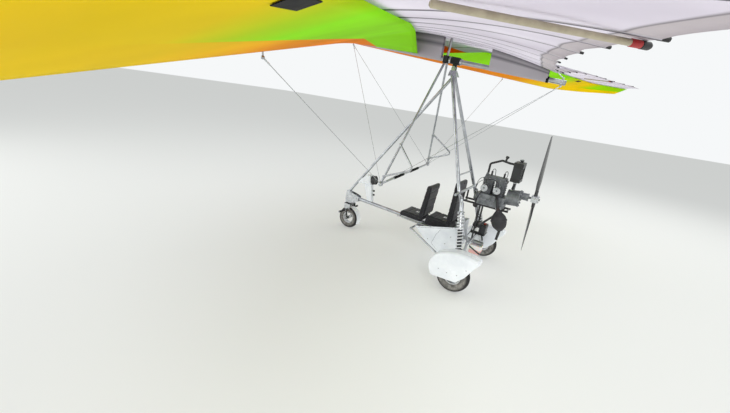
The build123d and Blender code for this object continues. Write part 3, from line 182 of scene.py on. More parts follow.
def nose_line(y):
    """Centre of the leading edge tube at a distance out along the wing."""
    return Vector((2.41 - 0.513 * y, y, keel_height(2.41) - 0.085 * y))


# Sail: coated woven polyester cut in panels, pulled over the leading edge tubes and held in shape
# by battens in sewn pockets. The upper skin wraps round the leading edge. Its outline follows
# the frame's solids, with the cloth scalloped between the battens and a little slack there.
# By columns: distance out, nose where it isn't the tube, rear edge x and z, crest as a share of
# the chord, height added to it, lower skin's end as a share of the chord, and its drop there.
sail_ribs = (
    (0.032, None, -0.400, 2.590, 0.080, 0.0, 0.40, -0.0315),
    (1.250, None, -0.526, 2.650, 0.082, 0.0, 0.44, None),
    (2.500, None, -0.778, 2.645, 0.080, 0.0, 0.50, None),
    (3.500, None, -1.025, 2.610, 0.075, 0.0, 0.52, None),
    (4.450, None, -1.350, 2.575, 0.065, 0.0, 0.52, None),
    (4.700, (-0.420, 2.400), -1.430, 2.562, 0.050, 0.034, 0.50, None),
    (4.860, (-1.080, 2.430), -1.490, 2.545, 0.040, 0.034, 0.50, None),
)
pocket_radius = 0.0315
wrap_steps = 8
cloth_thickness = 0.0015
batten_places = (0.30, 0.68, 1.12, 1.61, 2.25, 2.80, 3.34, 3.90, 4.40)
sail_root, sail_span = 0.032, 4.86


def arc_points(first, middle, last, count):
    """Points along the circle through three points of a plane."""
    (ax, ay), (bx, by), (cx, cy) = first, middle, last
    a, b, c = ax**2 + ay**2, bx**2 + by**2, cx**2 + cy**2
    d = 2 * (ax * (by - cy) + bx * (cy - ay) + cx * (ay - by))
    ux = (a * (by - cy) + b * (cy - ay) + c * (ay - by)) / d
    uy = (a * (cx - bx) + b * (ax - cx) + c * (bx - ax)) / d
    radius = math.hypot(ax - ux, ay - uy)
    turn = [math.atan2(y - uy, x - ux) for x, y in (first, middle, last)]
    way = math.tau if (turn[1] - turn[0]) % math.tau > (turn[2] - turn[0]) % math.tau else 0
    sweep = (turn[2] - turn[0]) % math.tau - way
    return [
        (ux + radius * math.cos(turn[0] + sweep * i / count),
         uy + radius * math.sin(turn[0] + sweep * i / count))
        for i in range(count + 1)
    ]


def rib_curves(y, nose, tail_x, tail_z, share, rise, end_share, drop):
    """One rib's upper and lower skin, as points on the level port wing."""
    start = nose_line(y) if nose is None else Vector((nose[0], y, nose[1]))
    run = Vector((tail_x, y, tail_z)) - start
    chord = run.length
    run.normalize()
    lift = Vector((0, 1, 0)).cross(run)
    crest = share * chord + rise
    crest_x = 0.36 * chord
    o = pocket_radius
    over = arc_points((0, -o), (-o, 0), (0, o), wrap_steps)
    over += arc_points((0, o), (crest_x * 0.45, crest * 0.72), (crest_x, crest), 9)[1:]
    over += arc_points(
        (crest_x, crest), ((crest_x + chord) / 2, crest * 0.77), (chord, 0.003), 18
    )[1:]
    low = 0.93 * (crest - 0.017) - 0.003 if drop is None else drop
    under = [(end_share * chord * i / 12, -o + (low + o) * i / 12) for i in range(13)]
    return [[start + run * a + lift * b for a, b in line] for line in (over, under)]


sections = [rib_curves(*rib) for rib in sail_ribs]
stations = sorted(
    {round(sail_root + (sail_span - sail_root) * i / 66, 4) for i in range(67)}
    | set(batten_places)
)
slack_edges = (sail_root,) + batten_places + (sail_span,)


def skin_row(y, skin):
    """The skin's points at a distance out, between the ribs on each side of it."""
    for (first, *_), low, (second, *_), high in zip(
        sail_ribs, sections, sail_ribs[1:], sections[1:]
    ):
        if y <= second + 1e-6:
            share = (y - first) / (second - first)
            break
    row = [a.lerp(b, share) for a, b in zip(low[skin], high[skin])]
    if skin:
        return row
    for edge, next_edge in zip(slack_edges, slack_edges[1:]):
        if edge <= y <= next_edge:
            between = (y - edge) / (next_edge - edge)
            bow = 4 * between * (1 - between) * min(1, (next_edge - edge) / 0.5)
    chord = (row[0] - row[-1]).length
    for point in row[wrap_steps + 2:]:
        back = min(1, max(0, (row[0].x - point.x) / chord))
        point.z -= 0.007 * bow * math.sin(math.pi * back)
        point.x += 0.022 * bow * max(0, back - 0.72) / 0.28
    return row


def grid_of(name, rows, along=None):
    """A surface from rows of points, with u across the rows and v along them."""
    across = len(rows[0])
    along = along or [j / (len(rows) - 1) for j in range(len(rows))]
    bpy.ops.mesh.primitive_grid_add(
        x_subdivisions=across - 1, y_subdivisions=len(rows) - 1, size=1
    )
    cloth = bpy.context.object
    cloth.name = name
    for vertex, point in zip(cloth.data.vertices, [point for row in rows for point in row]):
        vertex.co = point
    uv = cloth.data.uv_layers[0]
    for loop in cloth.data.loops:
        j, i = divmod(loop.vertex_index, across)
        uv.data[loop.index].uv = (i / (across - 1), along[j])
    return cloth


def modified(kind, **settings):
    """Applies a modifier with its settings to the active piece."""
    made = bpy.context.object.modifiers.new(kind, kind)
    for key, value in settings.items():
        setattr(made, key, value)
    bpy.ops.object.modifier_apply(modifier=made.name)


def smoothed(piece, angle=None):
    """The active piece shaded smooth, all over or up to an angle, and no longer selected."""
    if angle:
        bpy.ops.object.shade_smooth_by_angle(angle=angle)
    else:
        bpy.ops.object.shade_smooth()
    bpy.ops.object.select_all(action="DESELECT")
    return piece


def sail_skin(name, sign, skin):
    """A cloth skin of one half of the wing, with u along the chord and v along the span."""
    rows = [[on_wing(sign, *point) for point in skin_row(y, skin)] for y in stations]
    cloth = grid_of(name, rows, [y / sail_span for y in stations])
    upward = sum(face.normal.z * face.area for face in cloth.data.polygons)
    if (upward < 0) == (skin == 0):
        cloth.data.flip_normals()
    modified("SOLIDIFY", thickness=cloth_thickness, offset=-1)
    return smoothed(cloth)


# Sailcloth is tight woven polyester with a resin coat: matt, with a slight sheen, and thin enough
# for daylight to come through it. The weave is drawn at 10 mm, coarser than the real 0.3 mm one.
def sailcloth(name, way, stops, front=None, edge=None):
    """Cloth coloured along its chord X or its span Y, with a front panel up to an edge."""
    made, tree, where = new_material(name)
    parts = add_node(tree, "SeparateXYZ", {0: (add_node(tree, "UVMap"), "UV")})
    colour = (add_node(tree, "ValToRGB", {"stops": stops, "Fac": (parts, way)}), "Color")
    if front:
        band = add_node(tree, "ValToRGB", {"stops": front, "Fac": (parts, "Y")})
        ahead = add_node(tree, edge[0], {**edge[1], 0: (parts, "X")})
        colour = (add_node(
            tree, "Mix", {"data_type": "RGBA", 0: (ahead, 0), 6: colour, 7: (band, "Color")}
        ), 2)
    cloud = add_node(tree, "TexNoise", {"Scale": 1.3, "Detail": 3.0, "Vector": where})
    shade = add_node(
        tree, "ValToRGB", {"stops": ((0.3, "#DAD6DC"), (0.7, "#FFFFFF")), "Fac": (cloud, 0)}
    )
    tinted = (add_node(
        tree, "Mix",
        {"data_type": "RGBA", "blend_type": "MULTIPLY", 0: 0.55, 6: colour, 7: (shade, "Color")},
    ), 2)
    warp, weft = [
        add_node(tree, "TexWave", {"Scale": 31.0, "bands_direction": way, "Vector": where})
        for way in "XY"
    ]
    weave = add_node(tree, "Math", {"operation": "MAXIMUM", 0: (warp, 1), 1: (weft, 1)})
    bump = add_node(tree, "Bump", {"Strength": 0.12, "Distance": 0.0006, "Height": (weave, 0)})
    face = add_node(tree, "BsdfPrincipled", {
        "Roughness": 0.72, "Sheen Weight": 0.02, "Specular IOR Level": 0.06,
        "Base Color": tinted, "Normal": (bump, 0),
    })
    through = add_node(tree, "BsdfTranslucent", {"Color": tinted})
    both = add_node(tree, "MixShader", {0: 0.38, 1: (face, "BSDF"), 2: (through, "BSDF")})
    return finish_material(made, both, "Shader")


# The lower skin is lime at the root and golden yellow outboard, with a wide orange and yellow
# front panel. The upper is white with a lilac cast, an orange nose wrap and a darker rear band.
lower_cloth = sailcloth(
    "polyester_sailcloth_lower", "Y",
    ((0.0, "#A4F500"), (0.74, "#A8F800"), (0.80, "#CCF400"), (0.86, "#FFE800"),
     (0.93, "#FFE200"), (0.96, "#B8F400")),
    ((0.0, "#FA9010"), (0.5, "#FFA00C"), (0.66, "#FFAE06"), (0.75, "#FFD000"),
     (0.84, "#FFE400"), (1.0, "#FFE600")),
    ("MapRange", {"From Min": 0.43, "From Max": 0.45, "To Min": 1.0, "To Max": 0.0}),
)
upper_cloth = sailcloth(
    "polyester_sailcloth_upper", "X",
    ((0.0, "#EEEAF2"), (0.952, "#EEEAF2"), (0.956, "#8D8790"), (0.960, "#D9D3D6"),
     (1.0, "#D3CCD0")),
    ((0.0, "#F8801A"), (0.2, "#FF9A1C"), (0.55, "#FFAE18"), (0.70, "#FFC814"),
     (1.0, "#FFE21A")),
    ("Math", {"operation": "LESS_THAN", 1: 0.40}),
)
# Pocket tape is the same cloth with a grey line of painted shadow down each face, cast by the
# aluminium rod inside it.
pocket_tape = sailcloth(
    "polyester_batten_pocket", "X",
    ((0.0, "#C9C4CC"), (0.1, "#E9E5EC"), (0.2, "#77727C"), (0.3, "#77727C"), (0.42, "#E9E5EC"),
     (0.6, "#E4E0E8"), (0.72, "#77727C"), (0.8, "#77727C"), (0.92, "#E9E5EC"),
     (1.0, "#C9C4CC")),
)


def joined(name, pieces):
    """Several meshes made one piece."""
    for piece in pieces:
        piece.select_set(True)
    bpy.context.view_layer.objects.active = pieces[0]
    if len(pieces) > 1:
        bpy.ops.object.join()
    pieces[0].name = name
    bpy.ops.object.select_all(action="DESELECT")
    return pieces[0]


def closed(piece, gap, smooth, hole_sides=0, place=None):
    """The active piece with its seams welded and its ends filled, set in place and smoothed."""
    piece.select_set(True)
    bpy.ops.object.mode_set(mode="EDIT")
    bpy.ops.mesh.select_all(action="SELECT")
    bpy.ops.mesh.remove_doubles(threshold=gap)
    bpy.ops.mesh.fill_holes(sides=hole_sides)
    bpy.ops.mesh.select_all(action="SELECT")
    bpy.ops.mesh.normals_make_consistent(inside=False)
    bpy.ops.object.mode_set(mode="OBJECT")
    if place:
        piece.data.transform(place)
    return smoothed(piece, smooth)


def belongs(piece, made, body, slot, *nodes):
    """The piece takes a material, moves with a body and stands for the nodes named.
    The slot is not used.
    """
    piece.data.materials.append(made)
    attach(piece, body)
    if nodes:
        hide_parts(*nodes)


# Batten pockets: a lens-shaped sewn tube round each batten, from the nose to the trailing edge.
pocket_ring_mm = ((-17, 0), (-9, 5), (9, 5), (17, 0), (9, -5), (-9, -5), (-17, 0))
for side, sign in both_sides:
    upper = sail_skin(f"sail_upper_{side}", sign, 0)
    lower = sail_skin(f"sail_lower_{side}", sign, 1)
    strips = closed(joined(f"batten_pockets_{side}", [
        grid_of("strip", [
            [on_wing(sign, point.x, point.y + aside / 1000, point.z + rise / 1000)
             for aside, rise in pocket_ring_mm]
            for point in skin_row(out, 0)[wrap_steps:]
        ])
        for out in batten_places
    ]), 0.0001, 0.9, 8)
    for cloth, made in ((upper, upper_cloth), (lower, lower_cloth), (strips, pocket_tape)):
        belongs(cloth, made, "wing", "sail_cloth", f"sail_{side}")


# Keel pocket: the strip of sailcloth that joins the two halves over the keel, with webs sewn down
# to a sleeve that holds the keel tube, and a black bound end at the rear. Pale grey, with a darker
# sewn edge on each side.
def cloth_grid(name, rows, thickness):
    """A thin patch of cloth or sheet from rows of points."""
    cloth = grid_of(name, rows)
    modified("SOLIDIFY", thickness=thickness, offset=0)
    return smoothed(cloth, 1.0)


pocket_cloth = sailcloth(
    "polyester_keel_pocket", "X",
    ((0.0, "#8C8990"), (0.05, "#C6C2C8"), (0.08, "#8C8990"), (0.11, "#D2CED4"),
     (0.89, "#D2CED4"), (0.92, "#8C8990"), (0.95, "#C6C2C8"), (1.0, "#8C8990")),
)
root = skin_row(sail_root, 0)[wrap_steps + 1:]
top_strip = cloth_grid("keel_strip", [
    [bank @ Vector((point.x, 0.0325 * i / 3, point.z + 0.0008)) for i in range(-3, 4)]
    for point in root
], cloth_thickness)


def pocket_sleeve(name, rear, front, steps):
    """Two webs and the sleeve round the keel tube between them, over one stretch of the keel."""
    rows = []
    for step in range(steps + 1):
        x = rear + (front - rear) * step / steps
        above = [a.lerp(b, (a.x - x) / (a.x - b.x))
                 for a, b in zip(root, root[1:]) if b.x < x <= a.x][0]
        rise = above.z - keel_height(x)
        hollow = 0.004 * math.sin(math.pi * step / steps)
        web = [(0.031, rise - 0.004), (0.0302 - hollow, rise * 0.62), (0.03, 0.03), (0.0306, 0)]
        turn = [(0.0306 * math.cos(a), -0.0306 * math.sin(a))
                for a in (0.52, 1.05, 1.57, 2.09, 2.62)]
        line = web + turn + [(-a, b) for a, b in reversed(web)]
        rows.append([bank @ Vector((x, a, keel_height(x) + b)) for a, b in line])
    return cloth_grid(name, rows, cloth_thickness)


sleeve = pocket_sleeve("keel_sleeve", -0.33, 0.33, 16)
front_sleeve = pocket_sleeve("keel_sleeve_front", 0.95, 2.12, 26)
for cloth in (top_strip, sleeve, front_sleeve):
    belongs(cloth, pocket_cloth, "wing", "pocket_cloth", "keel_pocket")


def standing(foot, axis):
    """The place of a piece that stands on a foot, along an axis."""
    stand = Vector(axis).to_track_quat("Z", "Y").to_matrix().to_4x4()
    return Matrix.Translation(Vector(foot)) @ stand


def turned(name, rings_mm, foot, axis, sides=32, sharp=0.6):
    """A turned piece: rings of a circle drawn out along an axis, by radius and height."""
    rings = [(radius / 1000, height / 1000) for radius, height in rings_mm]
    bpy.ops.mesh.primitive_circle_add(vertices=sides, radius=rings[0][0], fill_type="NOTHING")
    piece = bpy.context.object
    piece.name = name
    bpy.ops.object.mode_set(mode="EDIT")
    bpy.ops.mesh.select_all(action="SELECT")
    bpy.ops.transform.translate(value=(0, 0, rings[0][1]))
    for (radius, height), (next_radius, next_height) in zip(rings, rings[1:]):
        bpy.ops.mesh.extrude_region_move(
            TRANSFORM_OT_translate={"value": (0, 0, next_height - height)}
        )
        share = next_radius / radius
        bpy.ops.transform.resize(value=(share, share, 1), center_override=(0, 0, next_height))
    return closed(piece, 0.00002, sharp, 0, standing(foot, axis))


def coloured(made, stops, level, height, strength, depth, sockets):
    """Ends a material in a surface coloured by stops along a level and bumped by a height."""
    tree = made.node_tree
    tint = add_node(tree, "ValToRGB", {"stops": stops, "Fac": level})
    bump = add_node(tree, "Bump", {"Strength": strength, "Distance": depth, "Height": height})
    return finish_material(made, add_node(
        tree, "BsdfPrincipled", {"Base Color": (tint, "Color"), "Normal": (bump, 0), **sockets}
    ))


def finish_of(name, colours, patch_mm, rough, grain_mm, depth_mm, sockets=None):
    """A finish with soft patches of colour and gloss a given distance across, and a grain."""
    stops = zip((0.3, 0.7), colours) if isinstance(colours[0], str) else colours
    made, tree, where = new_material(name)
    cloud = add_node(
        tree, "TexNoise",
        {"Scale": 1000 / patch_mm, "Detail": 5.0, "Roughness": 0.6, "Vector": where},
    )
    gloss = add_node(tree, "MapRange", {
        "From Min": 0.3, "From Max": 0.7, "To Min": rough[0], "To Max": rough[1],
        "Value": (cloud, 0),
    })
    grit = add_node(tree, "TexNoise", {"Scale": 1000 / grain_mm, "Detail": 2.0, "Vector": where})
    return coloured(
        made, tuple(stops), (cloud, 0), (grit, 0), 0.4, depth_mm / 1000,
        {"Roughness": (gloss, 0), **(sockets or {})},
    )


def dressed(made, *nodes):
    """Gives a material to the frame's own solids."""
    for node in nodes:
        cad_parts[node].material_slots[0].material = made


# Bound cloth, moulded black nylon and foam: near black, matt, with a grain that scatters light.
black_cloth = finish_of(
    "black_bound_webbing", ("#0F0F10", "#1C1C1E"), 30, (0.7, 0.9), 1.6, 0.6,
    {"Specular IOR Level": 0.15},
)
belongs(turned(
    "keel_pocket_end",
    ((31.2, 0), (33.5, 1), (34.5, 6), (34.5, 20), (33.5, 26), (31.2, 27), (31.2, 0)),
    bank @ Vector((-0.345, 0, keel_height(-0.345))), bank.to_3x3() @ keel_way,
), black_cloth, "wing", "pocket_cloth")


# Batten ends: black moulded tips on elastic at the trailing edge. The thick beige tube with a red
# sleeve is the wash-out rod, which lies aslant under each outer panel and ends at the rear edge.
rod_cover = finish_of("beige_glass_rod", ("#9A907A", "#B3A992"), 50, (0.35, 0.5), 2, 0.1)
red_sleeve = finish_of("red_heat_shrink", ("#8E1518", "#B3201F"), 20, (0.35, 0.5), 1, 0.1)
black_nylon = finish_of(
    "moulded_black_nylon", ("#101011", "#1E1E20"), 20, (0.4, 0.58), 1.2, 0.1
)
rod_foot_out, rod_foot_x, rod_end_out = 3.78, -0.507, 3.27
for side, sign in both_sides:
    tips = []
    for out in batten_places:
        row = skin_row(out, 0)
        end = on_wing(sign, row[-1].x - 0.020, out, row[-1].z - 0.002)
        tips.append(turned(
            "tip", ((4, 0), (7, 3), (7, 30), (5.5, 36), (5.5, 50)),
            end, on_wing(sign, row[-4].x, out, row[-4].z) - end, 12,
        ))
    belongs(joined(f"batten_tips_{side}", tips), black_nylon, "wing", "sail_cloth")
    row = skin_row(rod_foot_out, 0)[wrap_steps + 1:]
    front = [a.lerp(b, (a.x - rod_foot_x) / (a.x - b.x))
             for a, b in zip(row, row[1:]) if b.x < rod_foot_x <= a.x][0]
    rear = skin_row(rod_end_out, 0)[-1]
    front = on_wing(sign, front.x, front.y, front.z - 0.016)
    rear = on_wing(sign, rear.x, rear.y, rear.z - 0.014)
    way = (rear - front).normalized()
    long = 1000 * (rear - front).length
    for name, made, start, rings_mm in (
        ("rod", rod_cover, 0, ((6, 0), (9.5, 4), (9.5, long - 30), (9, long - 30))),
        ("sleeve", red_sleeve, long - 62, ((9.6, 0), (11.2, 3), (11.2, 40), (9.8, 42))),
        ("cap", black_nylon, long - 20, ((9.8, 0), (12, 2), (12, 30), (8, 38))),
    ):
        belongs(
            turned(f"washout_{name}_{side}", rings_mm, front + way * start / 1000, way, 16),
            made, "wing", "sail_cloth",
        )

# Slot patch: a black sheet on the lower skin near each tip, painted shade standing for the dark
# inside of a reinforced opening bound with tape.
for side, sign in both_sides:
    patch_rows = []
    for out in (4.035, 4.065, 4.095, 4.125, 4.155):
        low = skin_row(out, 1)
        reach = [low[10].lerp(low[12], share) for share in (0.1, 0.35, 0.6)]
        patch_rows.append([on_wing(sign, p.x, p.y, p.z - 0.003) for p in reach])
    patch = cloth_grid(f"slot_shade_patch_{side}", patch_rows, 0.002)
    belongs(patch, black_cloth, "wing", "sail_cloth")


# Wing frame and mast tubes: drawn aluminium, clear anodised. The coat leaves a pale satin metal
# with faint cloudy patches from handling.
anodised_tube = finish_of(
    "clear_anodised_aluminium", ((0.3, "#8C8F93"), (0.55, "#ABAEB2"), (0.75, "#C6C9CC")), 120,
    (0.26, 0.38), 1.5, 0.05, {"Metallic": 0.92},
)
dressed(
    anodised_tube, "wing_keel", "leading_edges", "king_post", "base_bar", "uprights",
    "control_bars", "mast_legs", "rear_frame", "seat_frame", "drag_beam", "base_tube",
    "foot_pegs", "front_strut",
)
# Brackets are sawn and milled from plate: brighter, with tool marks about a millimetre apart.
milled_plate = finish_of(
    "milled_aluminium", ("#A6A9AD", "#C9CCCF"), 30, (0.22, 0.36), 1, 0.12, {"Metallic": 0.95}
)
dressed(milled_plate, "nose_plates", "keel_fittings", "mast_head", "head_block")
# The hang block and the bracket over it are hard anodised black, which looks matt and dense.
black_anodised = finish_of(
    "hard_black_anodised", ("#17181A", "#26282B"), 30, (0.4, 0.55), 1, 0.08, {"Metallic": 0.4}
)
dressed(black_anodised, "hang_block", "frame_bracket")

# Rigging: stainless steel rope with a swaged sleeve at each end.
steel_rope = finish_of(
    "stainless_steel_rope", ((0.35, "#6E7175"), (0.65, "#C3C6C9")), 4, (0.25, 0.4), 2, 0.6,
    {"Metallic": 0.95},
)
dressed(steel_rope, "lower_wires", "upper_wires")


def on_keel(x, rise):
    """A point at a place along the level keel, raised square to it."""
    return Vector((x, 0, keel_height(x))) + keel_up * rise


bar_x, corner_out, corner_height = 1.2, 0.763, 1.062
nose_x, tail_x = 2.320, -0.480
post_ball = on_keel(0.880, 0.0453) + keel_up * 0.9
wire_ends = [(on_keel(nose_x, 0.0493), post_ball), (on_keel(tail_x, 0.041), post_ball)]
for _, sign in both_sides:
    corner = Vector((bar_x, sign * corner_out, corner_height))
    side_point = nose_line(3.05)
    side_point.y *= sign
    lift = Vector((0, 0, 0.062))
    wire_ends += [
        (on_keel(nose_x, -0.0493), corner), (on_keel(tail_x, -0.041), corner),
        (side_point - lift, corner), (side_point + lift, post_ball),
    ]
swages = []
for first, last in wire_ends:
    first, last = bank @ first, bank @ last
    for start, end, ball in ((first, last, 0.014), (last, first, 0.036)):
        way = (end - start).normalized()
        swages.append(turned(
            "swage", ((3, 0), (5.2, 2), (5.2, 26), (3.6, 34), (5.2, 40), (5.2, 62), (3, 66)),
            start + way * ball, way, 12,
        ))
belongs(joined("wire_swages", swages), milled_plate, "wing", "rigging_wire")

# Grips: foam sleeves pushed on to the base bar, with a turned collar at each end.
for side, sign in both_sides:
    rings_mm = [(15.2, 0), (19, 3)]
    for rib in range(14):
        rings_mm += [(19.5, 12 + rib * 20), (18.2, 22 + rib * 20)]
    belongs(turned(
        f"grip_{side}", rings_mm + [(19, 292), (15.2, 296)],
        on_wing(sign, bar_x, 0.10, corner_height), bank.to_3x3() @ Vector((0, sign, 0)), 24, 1.2,
    ), black_cloth, "wing", "hose_rubber")


# Tyres: moulded rubber with four grooves round the tread and a raised rim guard. The tread is
# dark where it rolls clean, and the sidewalls are paler grey, partly dry dust and partly
# painted sunlight.
def tyre_rubber(name, centre, radius):
    """Rubber whose dust and painted sunlight thin out from the sidewall to the tread, by distance
    from the axle.
    """
    made, tree, where = new_material(name)
    about = add_node(tree, "Mapping", {"Location": tuple(-c for c in centre), "Vector": where})
    flat = add_node(
        tree, "VectorMath", {"operation": "MULTIPLY", 1: (1, 0, 1), 0: (about, 0)}
    )
    reach = add_node(tree, "VectorMath", {"operation": "LENGTH", 0: (flat, 0)})
    cloud = add_node(tree, "TexNoise", {"Scale": 28.0, "Detail": 5.0, "Vector": where})
    shift = add_node(
        tree, "Math", {"operation": "MULTIPLY_ADD", 1: 0.02, 2: -0.01, 0: (cloud, 0)}
    )
    moved = add_node(tree, "Math", {"operation": "ADD", 0: (reach, "Value"), 1: (shift, 0)})
    # Pale grey towards the sidewall: dry dust, and painted sunlight on the sidewall.
    dust_and_sunlight = add_node(tree, "MapRange", {
        "From Min": radius - 0.012, "From Max": radius - 0.045, "To Min": 0.0, "To Max": 1.0,
        "Value": (moved, 0),
    })
    dust_and_sunlight_patches = add_node(tree, "Math", {"operation": "MULTIPLY", 0: (dust_and_sunlight, 0), 1: (cloud, 0)})
    gloss = add_node(tree, "MapRange", {"To Min": 0.62, "To Max": 0.92, "Value": (dust_and_sunlight_patches, 0)})
    grit = add_node(tree, "TexNoise", {"Scale": 700.0, "Detail": 2.0, "Vector": where})
    return coloured(
        made, ((0.0, "#1C1B1B"), (0.15, "#2A2927"), (0.45, "#6C6A66"), (0.75, "#98958F")),
        (dust_and_sunlight_patches, 0), (grit, 0), 0.4, 0.0003,
        {"Specular IOR Level": 0.3, "Roughness": (gloss, 0)},
    )


# By columns: depth cut in, share of the way from the rim seat to the tread, share of half width.
tread_profile = (
    (0, 0.0, -0.72), (0, 0.088, -0.90), (0, 0.16, -0.965), (0, 0.25, -0.985), (0, 0.27, -1.0),
    (0, 0.31, -1.0), (0, 0.33, -0.985), (0, 0.52, -1.0), (0, 0.72, -0.94), (0, 0.84, -0.83),
    (0, 0.878, -0.72), (0, 0.925, -0.56), (0.004, 0.925, -0.55), (0.004, 0.930, -0.47),
    (0, 0.945, -0.46), (0, 0.978, -0.26), (0.005, 0.978, -0.25), (0.005, 0.985, -0.17),
    (0, 0.987, -0.16), (0, 1.0, -0.02),
)
# By columns: node, body, centre, radius, rim seat's radius, half width, ways that its hubs face.
nose_axle_x, nose_axle_z = 1.98, 0.17
wheels = (
    ("nose_tyre", "nose_wheel", (nose_axle_x, 0, nose_axle_z), 0.170, 0.0923, 0.044, (1, -1)),
    ("main_tyre_port", "main_wheel_port", (0, 0.72, 0.2), 0.200, 0.1023, 0.050, (1,)),
    ("main_tyre_starboard", "main_wheel_starboard", (0, -0.72, 0.2), 0.200, 0.1023, 0.050, (-1,)),
)
for node, body, centre, radius, seat, half, _ in wheels:
    profile = [(1000 * (seat + (radius - seat) * share - cut), 1000 * half * out)
               for cut, share, out in tread_profile]
    rings_mm = profile + [(r, -z) for r, z in reversed(profile)] + [profile[0]]
    belongs(
        turned(f"{node}_moulded", rings_mm, centre, (0, 1, 0), 96, 0.5),
        tyre_rubber(f"dusty_sunlit_{node}_rubber", centre, radius), body, "tyre_rubber", node,
    )


# Rims: die-cast wheels in silver lacquer, with a ring of bolts at the hub and a valve stem.
silver_lacquer = finish_of(
    "silver_wheel_lacquer", ("#9FA1A3", "#C8CACB"), 50, (0.25, 0.4), 1.2, 0.06,
    {"Metallic": 0.55, "Coat Weight": 0.3},
)
zinc_bolt = finish_of(
    "zinc_plated_steel", ("#8E9092", "#B9BBBC"), 10, (0.25, 0.42), 0.8, 0.05, {"Metallic": 0.9}
)
dressed(silver_lacquer, "nose_rim", "main_rim_port", "main_rim_starboard")
for node, body, centre, radius, seat, half, facings in wheels:
    bolts = []
    for facing in facings:
        hub = Vector(centre) + Vector((0, facing * (0.72 * half - 0.0005), 0))
        for step in range(6):
            turn = math.tau * step / 6
            spot = hub + Vector((0.0195 * math.cos(turn), 0, 0.0195 * math.sin(turn)))
            bolts.append(turned("bolt", ((3.4, 0), (3.4, 3), (2.8, 3.6)), spot, (0, facing, 0), 6))
    stem = Vector(centre) + Vector((0, facings[0] * 0.012, seat - 0.009))
    bolts.append(turned(
        "valve", ((4, 0), (4, 8), (2.6, 9), (2.6, 20), (3.4, 21), (3.4, 28), (2.2, 29)),
        stem, (0, facings[0] * 0.9, -0.35), 12,
    ))
    belongs(joined(f"{body}_bolts", bolts), zinc_bolt, body, "hub_metal")


# Fork and engine frame: welded steel tube in black powder coat, faintly rippled as the coat sets.
powder_coat = finish_of(
    "black_powder_coat", ("#141516", "#222426"), 50, (0.3, 0.45), 3, 0.2, {"Coat Weight": 0.15}
)
dressed(powder_coat, "steering_fork", "engine_mount")

# Foot pegs: ribbed rubber sleeves pushed on to the pegs, and a nut at each axle end.
ribbed_rubber = finish_of(
    "moulded_black_rubber", ("#19191A", "#2A2A2B"), 20, (0.6, 0.8), 1, 0.3
)
for side, sign in both_sides:
    rings_mm = [(11.2, 0), (14.5, 3)]
    for rib in range(9):
        rings_mm += [
            (width, height + rib * 15)
            for width, height in ((15, 10), (15, 17), (13.5, 17.5), (13.5, 22.5))
        ]
    belongs(turned(
        f"peg_sleeve_{side}", rings_mm + [(16, 147), (16, 155), (11.2, 158)],
        (2.0122, sign * 0.104, 0.300), (0, sign, 0), 24, 0.5,
    ), ribbed_rubber, "steering_fork", "hose_rubber")
belongs(joined("fork_axle_nuts", [
    turned("axle_nut", ((9.5, 0), (9.5, 8), (6.2, 9), (6.2, 13), (5, 13.5)),
           (nose_axle_x, sign * 0.0765, nose_axle_z), (0, sign, 0), 6)
    for _, sign in both_sides
]), zinc_bolt, "steering_fork", "steel_fittings")

# Fork cover: a bright folded sheet round the crown's front and sides, which turns with the fork.
cover_line = [
    (1.945, 0.0822), (2.030, 0.0822), (2.048, 0.0790), (2.060, 0.0700), (2.0655, 0.0560),
    (2.0670, 0.0300), (2.0670, 0.0),
]
cover_line += [(x, -y) for x, y in reversed(cover_line[:-1])]
belongs(cloth_grid("fork_cover", [
    [Vector((x + lean, y, z)) for x, y in cover_line]
    for z, lean in ((0.402, 0.0), (0.380, 0.0), (0.350, -0.004), (0.322, -0.010))
], 0.0022), milled_plate, "steering_fork", "bracket_metal")

# Head gussets: two sawn plates, one each side of the head block and the front of the base tube,
# clamped by two through bolts.
for side, sign in both_sides:
    belongs(cloth_grid(f"head_gusset_{side}", [
        [Vector((x, sign * 0.0402, low + (high - low) * rise)) for x, low, high in (
            (1.835, 0.482, 0.545), (1.850, 0.465, 0.555), (1.890, 0.444, 0.568),
            (1.950, 0.424, 0.582), (2.010, 0.414, 0.590), (2.055, 0.414, 0.590),
            (2.064, 0.424, 0.582), (2.068, 0.440, 0.565),
        )]
        for rise in (0.0, 0.06, 0.5, 0.94, 1.0)
    ], 0.003), milled_plate, "trike", "bracket_metal")
belongs(joined("gusset_bolts", [
    turned("bolt", ((8.5, 0), (8.5, 6), (5, 6), (5, 88.5), (8.5, 88.5), (8.5, 94.5)),
           (x, -0.04725, z), (0, 1, 0), 6)
    for x, z in ((1.872, 0.508), (1.930, 0.511))
]), zinc_bolt, "trike", "steel_fittings")


# Gelcoat: the white surface of moulded glass fibre, glossy, a touch cool, with faint cloudy
# patches of dust.
gelcoat = finish_of(
    "white_gelcoat", ((0.3, "#D9DEE4"), (0.6, "#E9EDF1"), (0.8, "#EEF1F4")), 220, (0.16, 0.30),
    4, 0.05, {"Coat Weight": 0.35, "Coat Roughness": 0.08},
)
dressed(gelcoat, "underseat_fairing", "instrument_pod", "spat_port", "spat_starboard")


def block(name, sizes, place, edge=0):
    """A box set by a matrix, with its edges rounded where a radius is given."""
    bpy.ops.mesh.primitive_cube_add(size=1)
    piece = bpy.context.object
    piece.name = name
    piece.data.transform(Matrix.Diagonal((*sizes, 1)))
    if edge:
        bpy.ops.object.mode_set(mode="EDIT")
        bpy.ops.mesh.select_all(action="SELECT")
        bpy.ops.mesh.bevel(offset=edge, segments=3)
        bpy.ops.object.mode_set(mode="OBJECT")
        bpy.ops.object.shade_smooth_by_angle(angle=0.7)
    piece.data.transform(place)
    bpy.ops.object.select_all(action="DESELECT")
    return piece


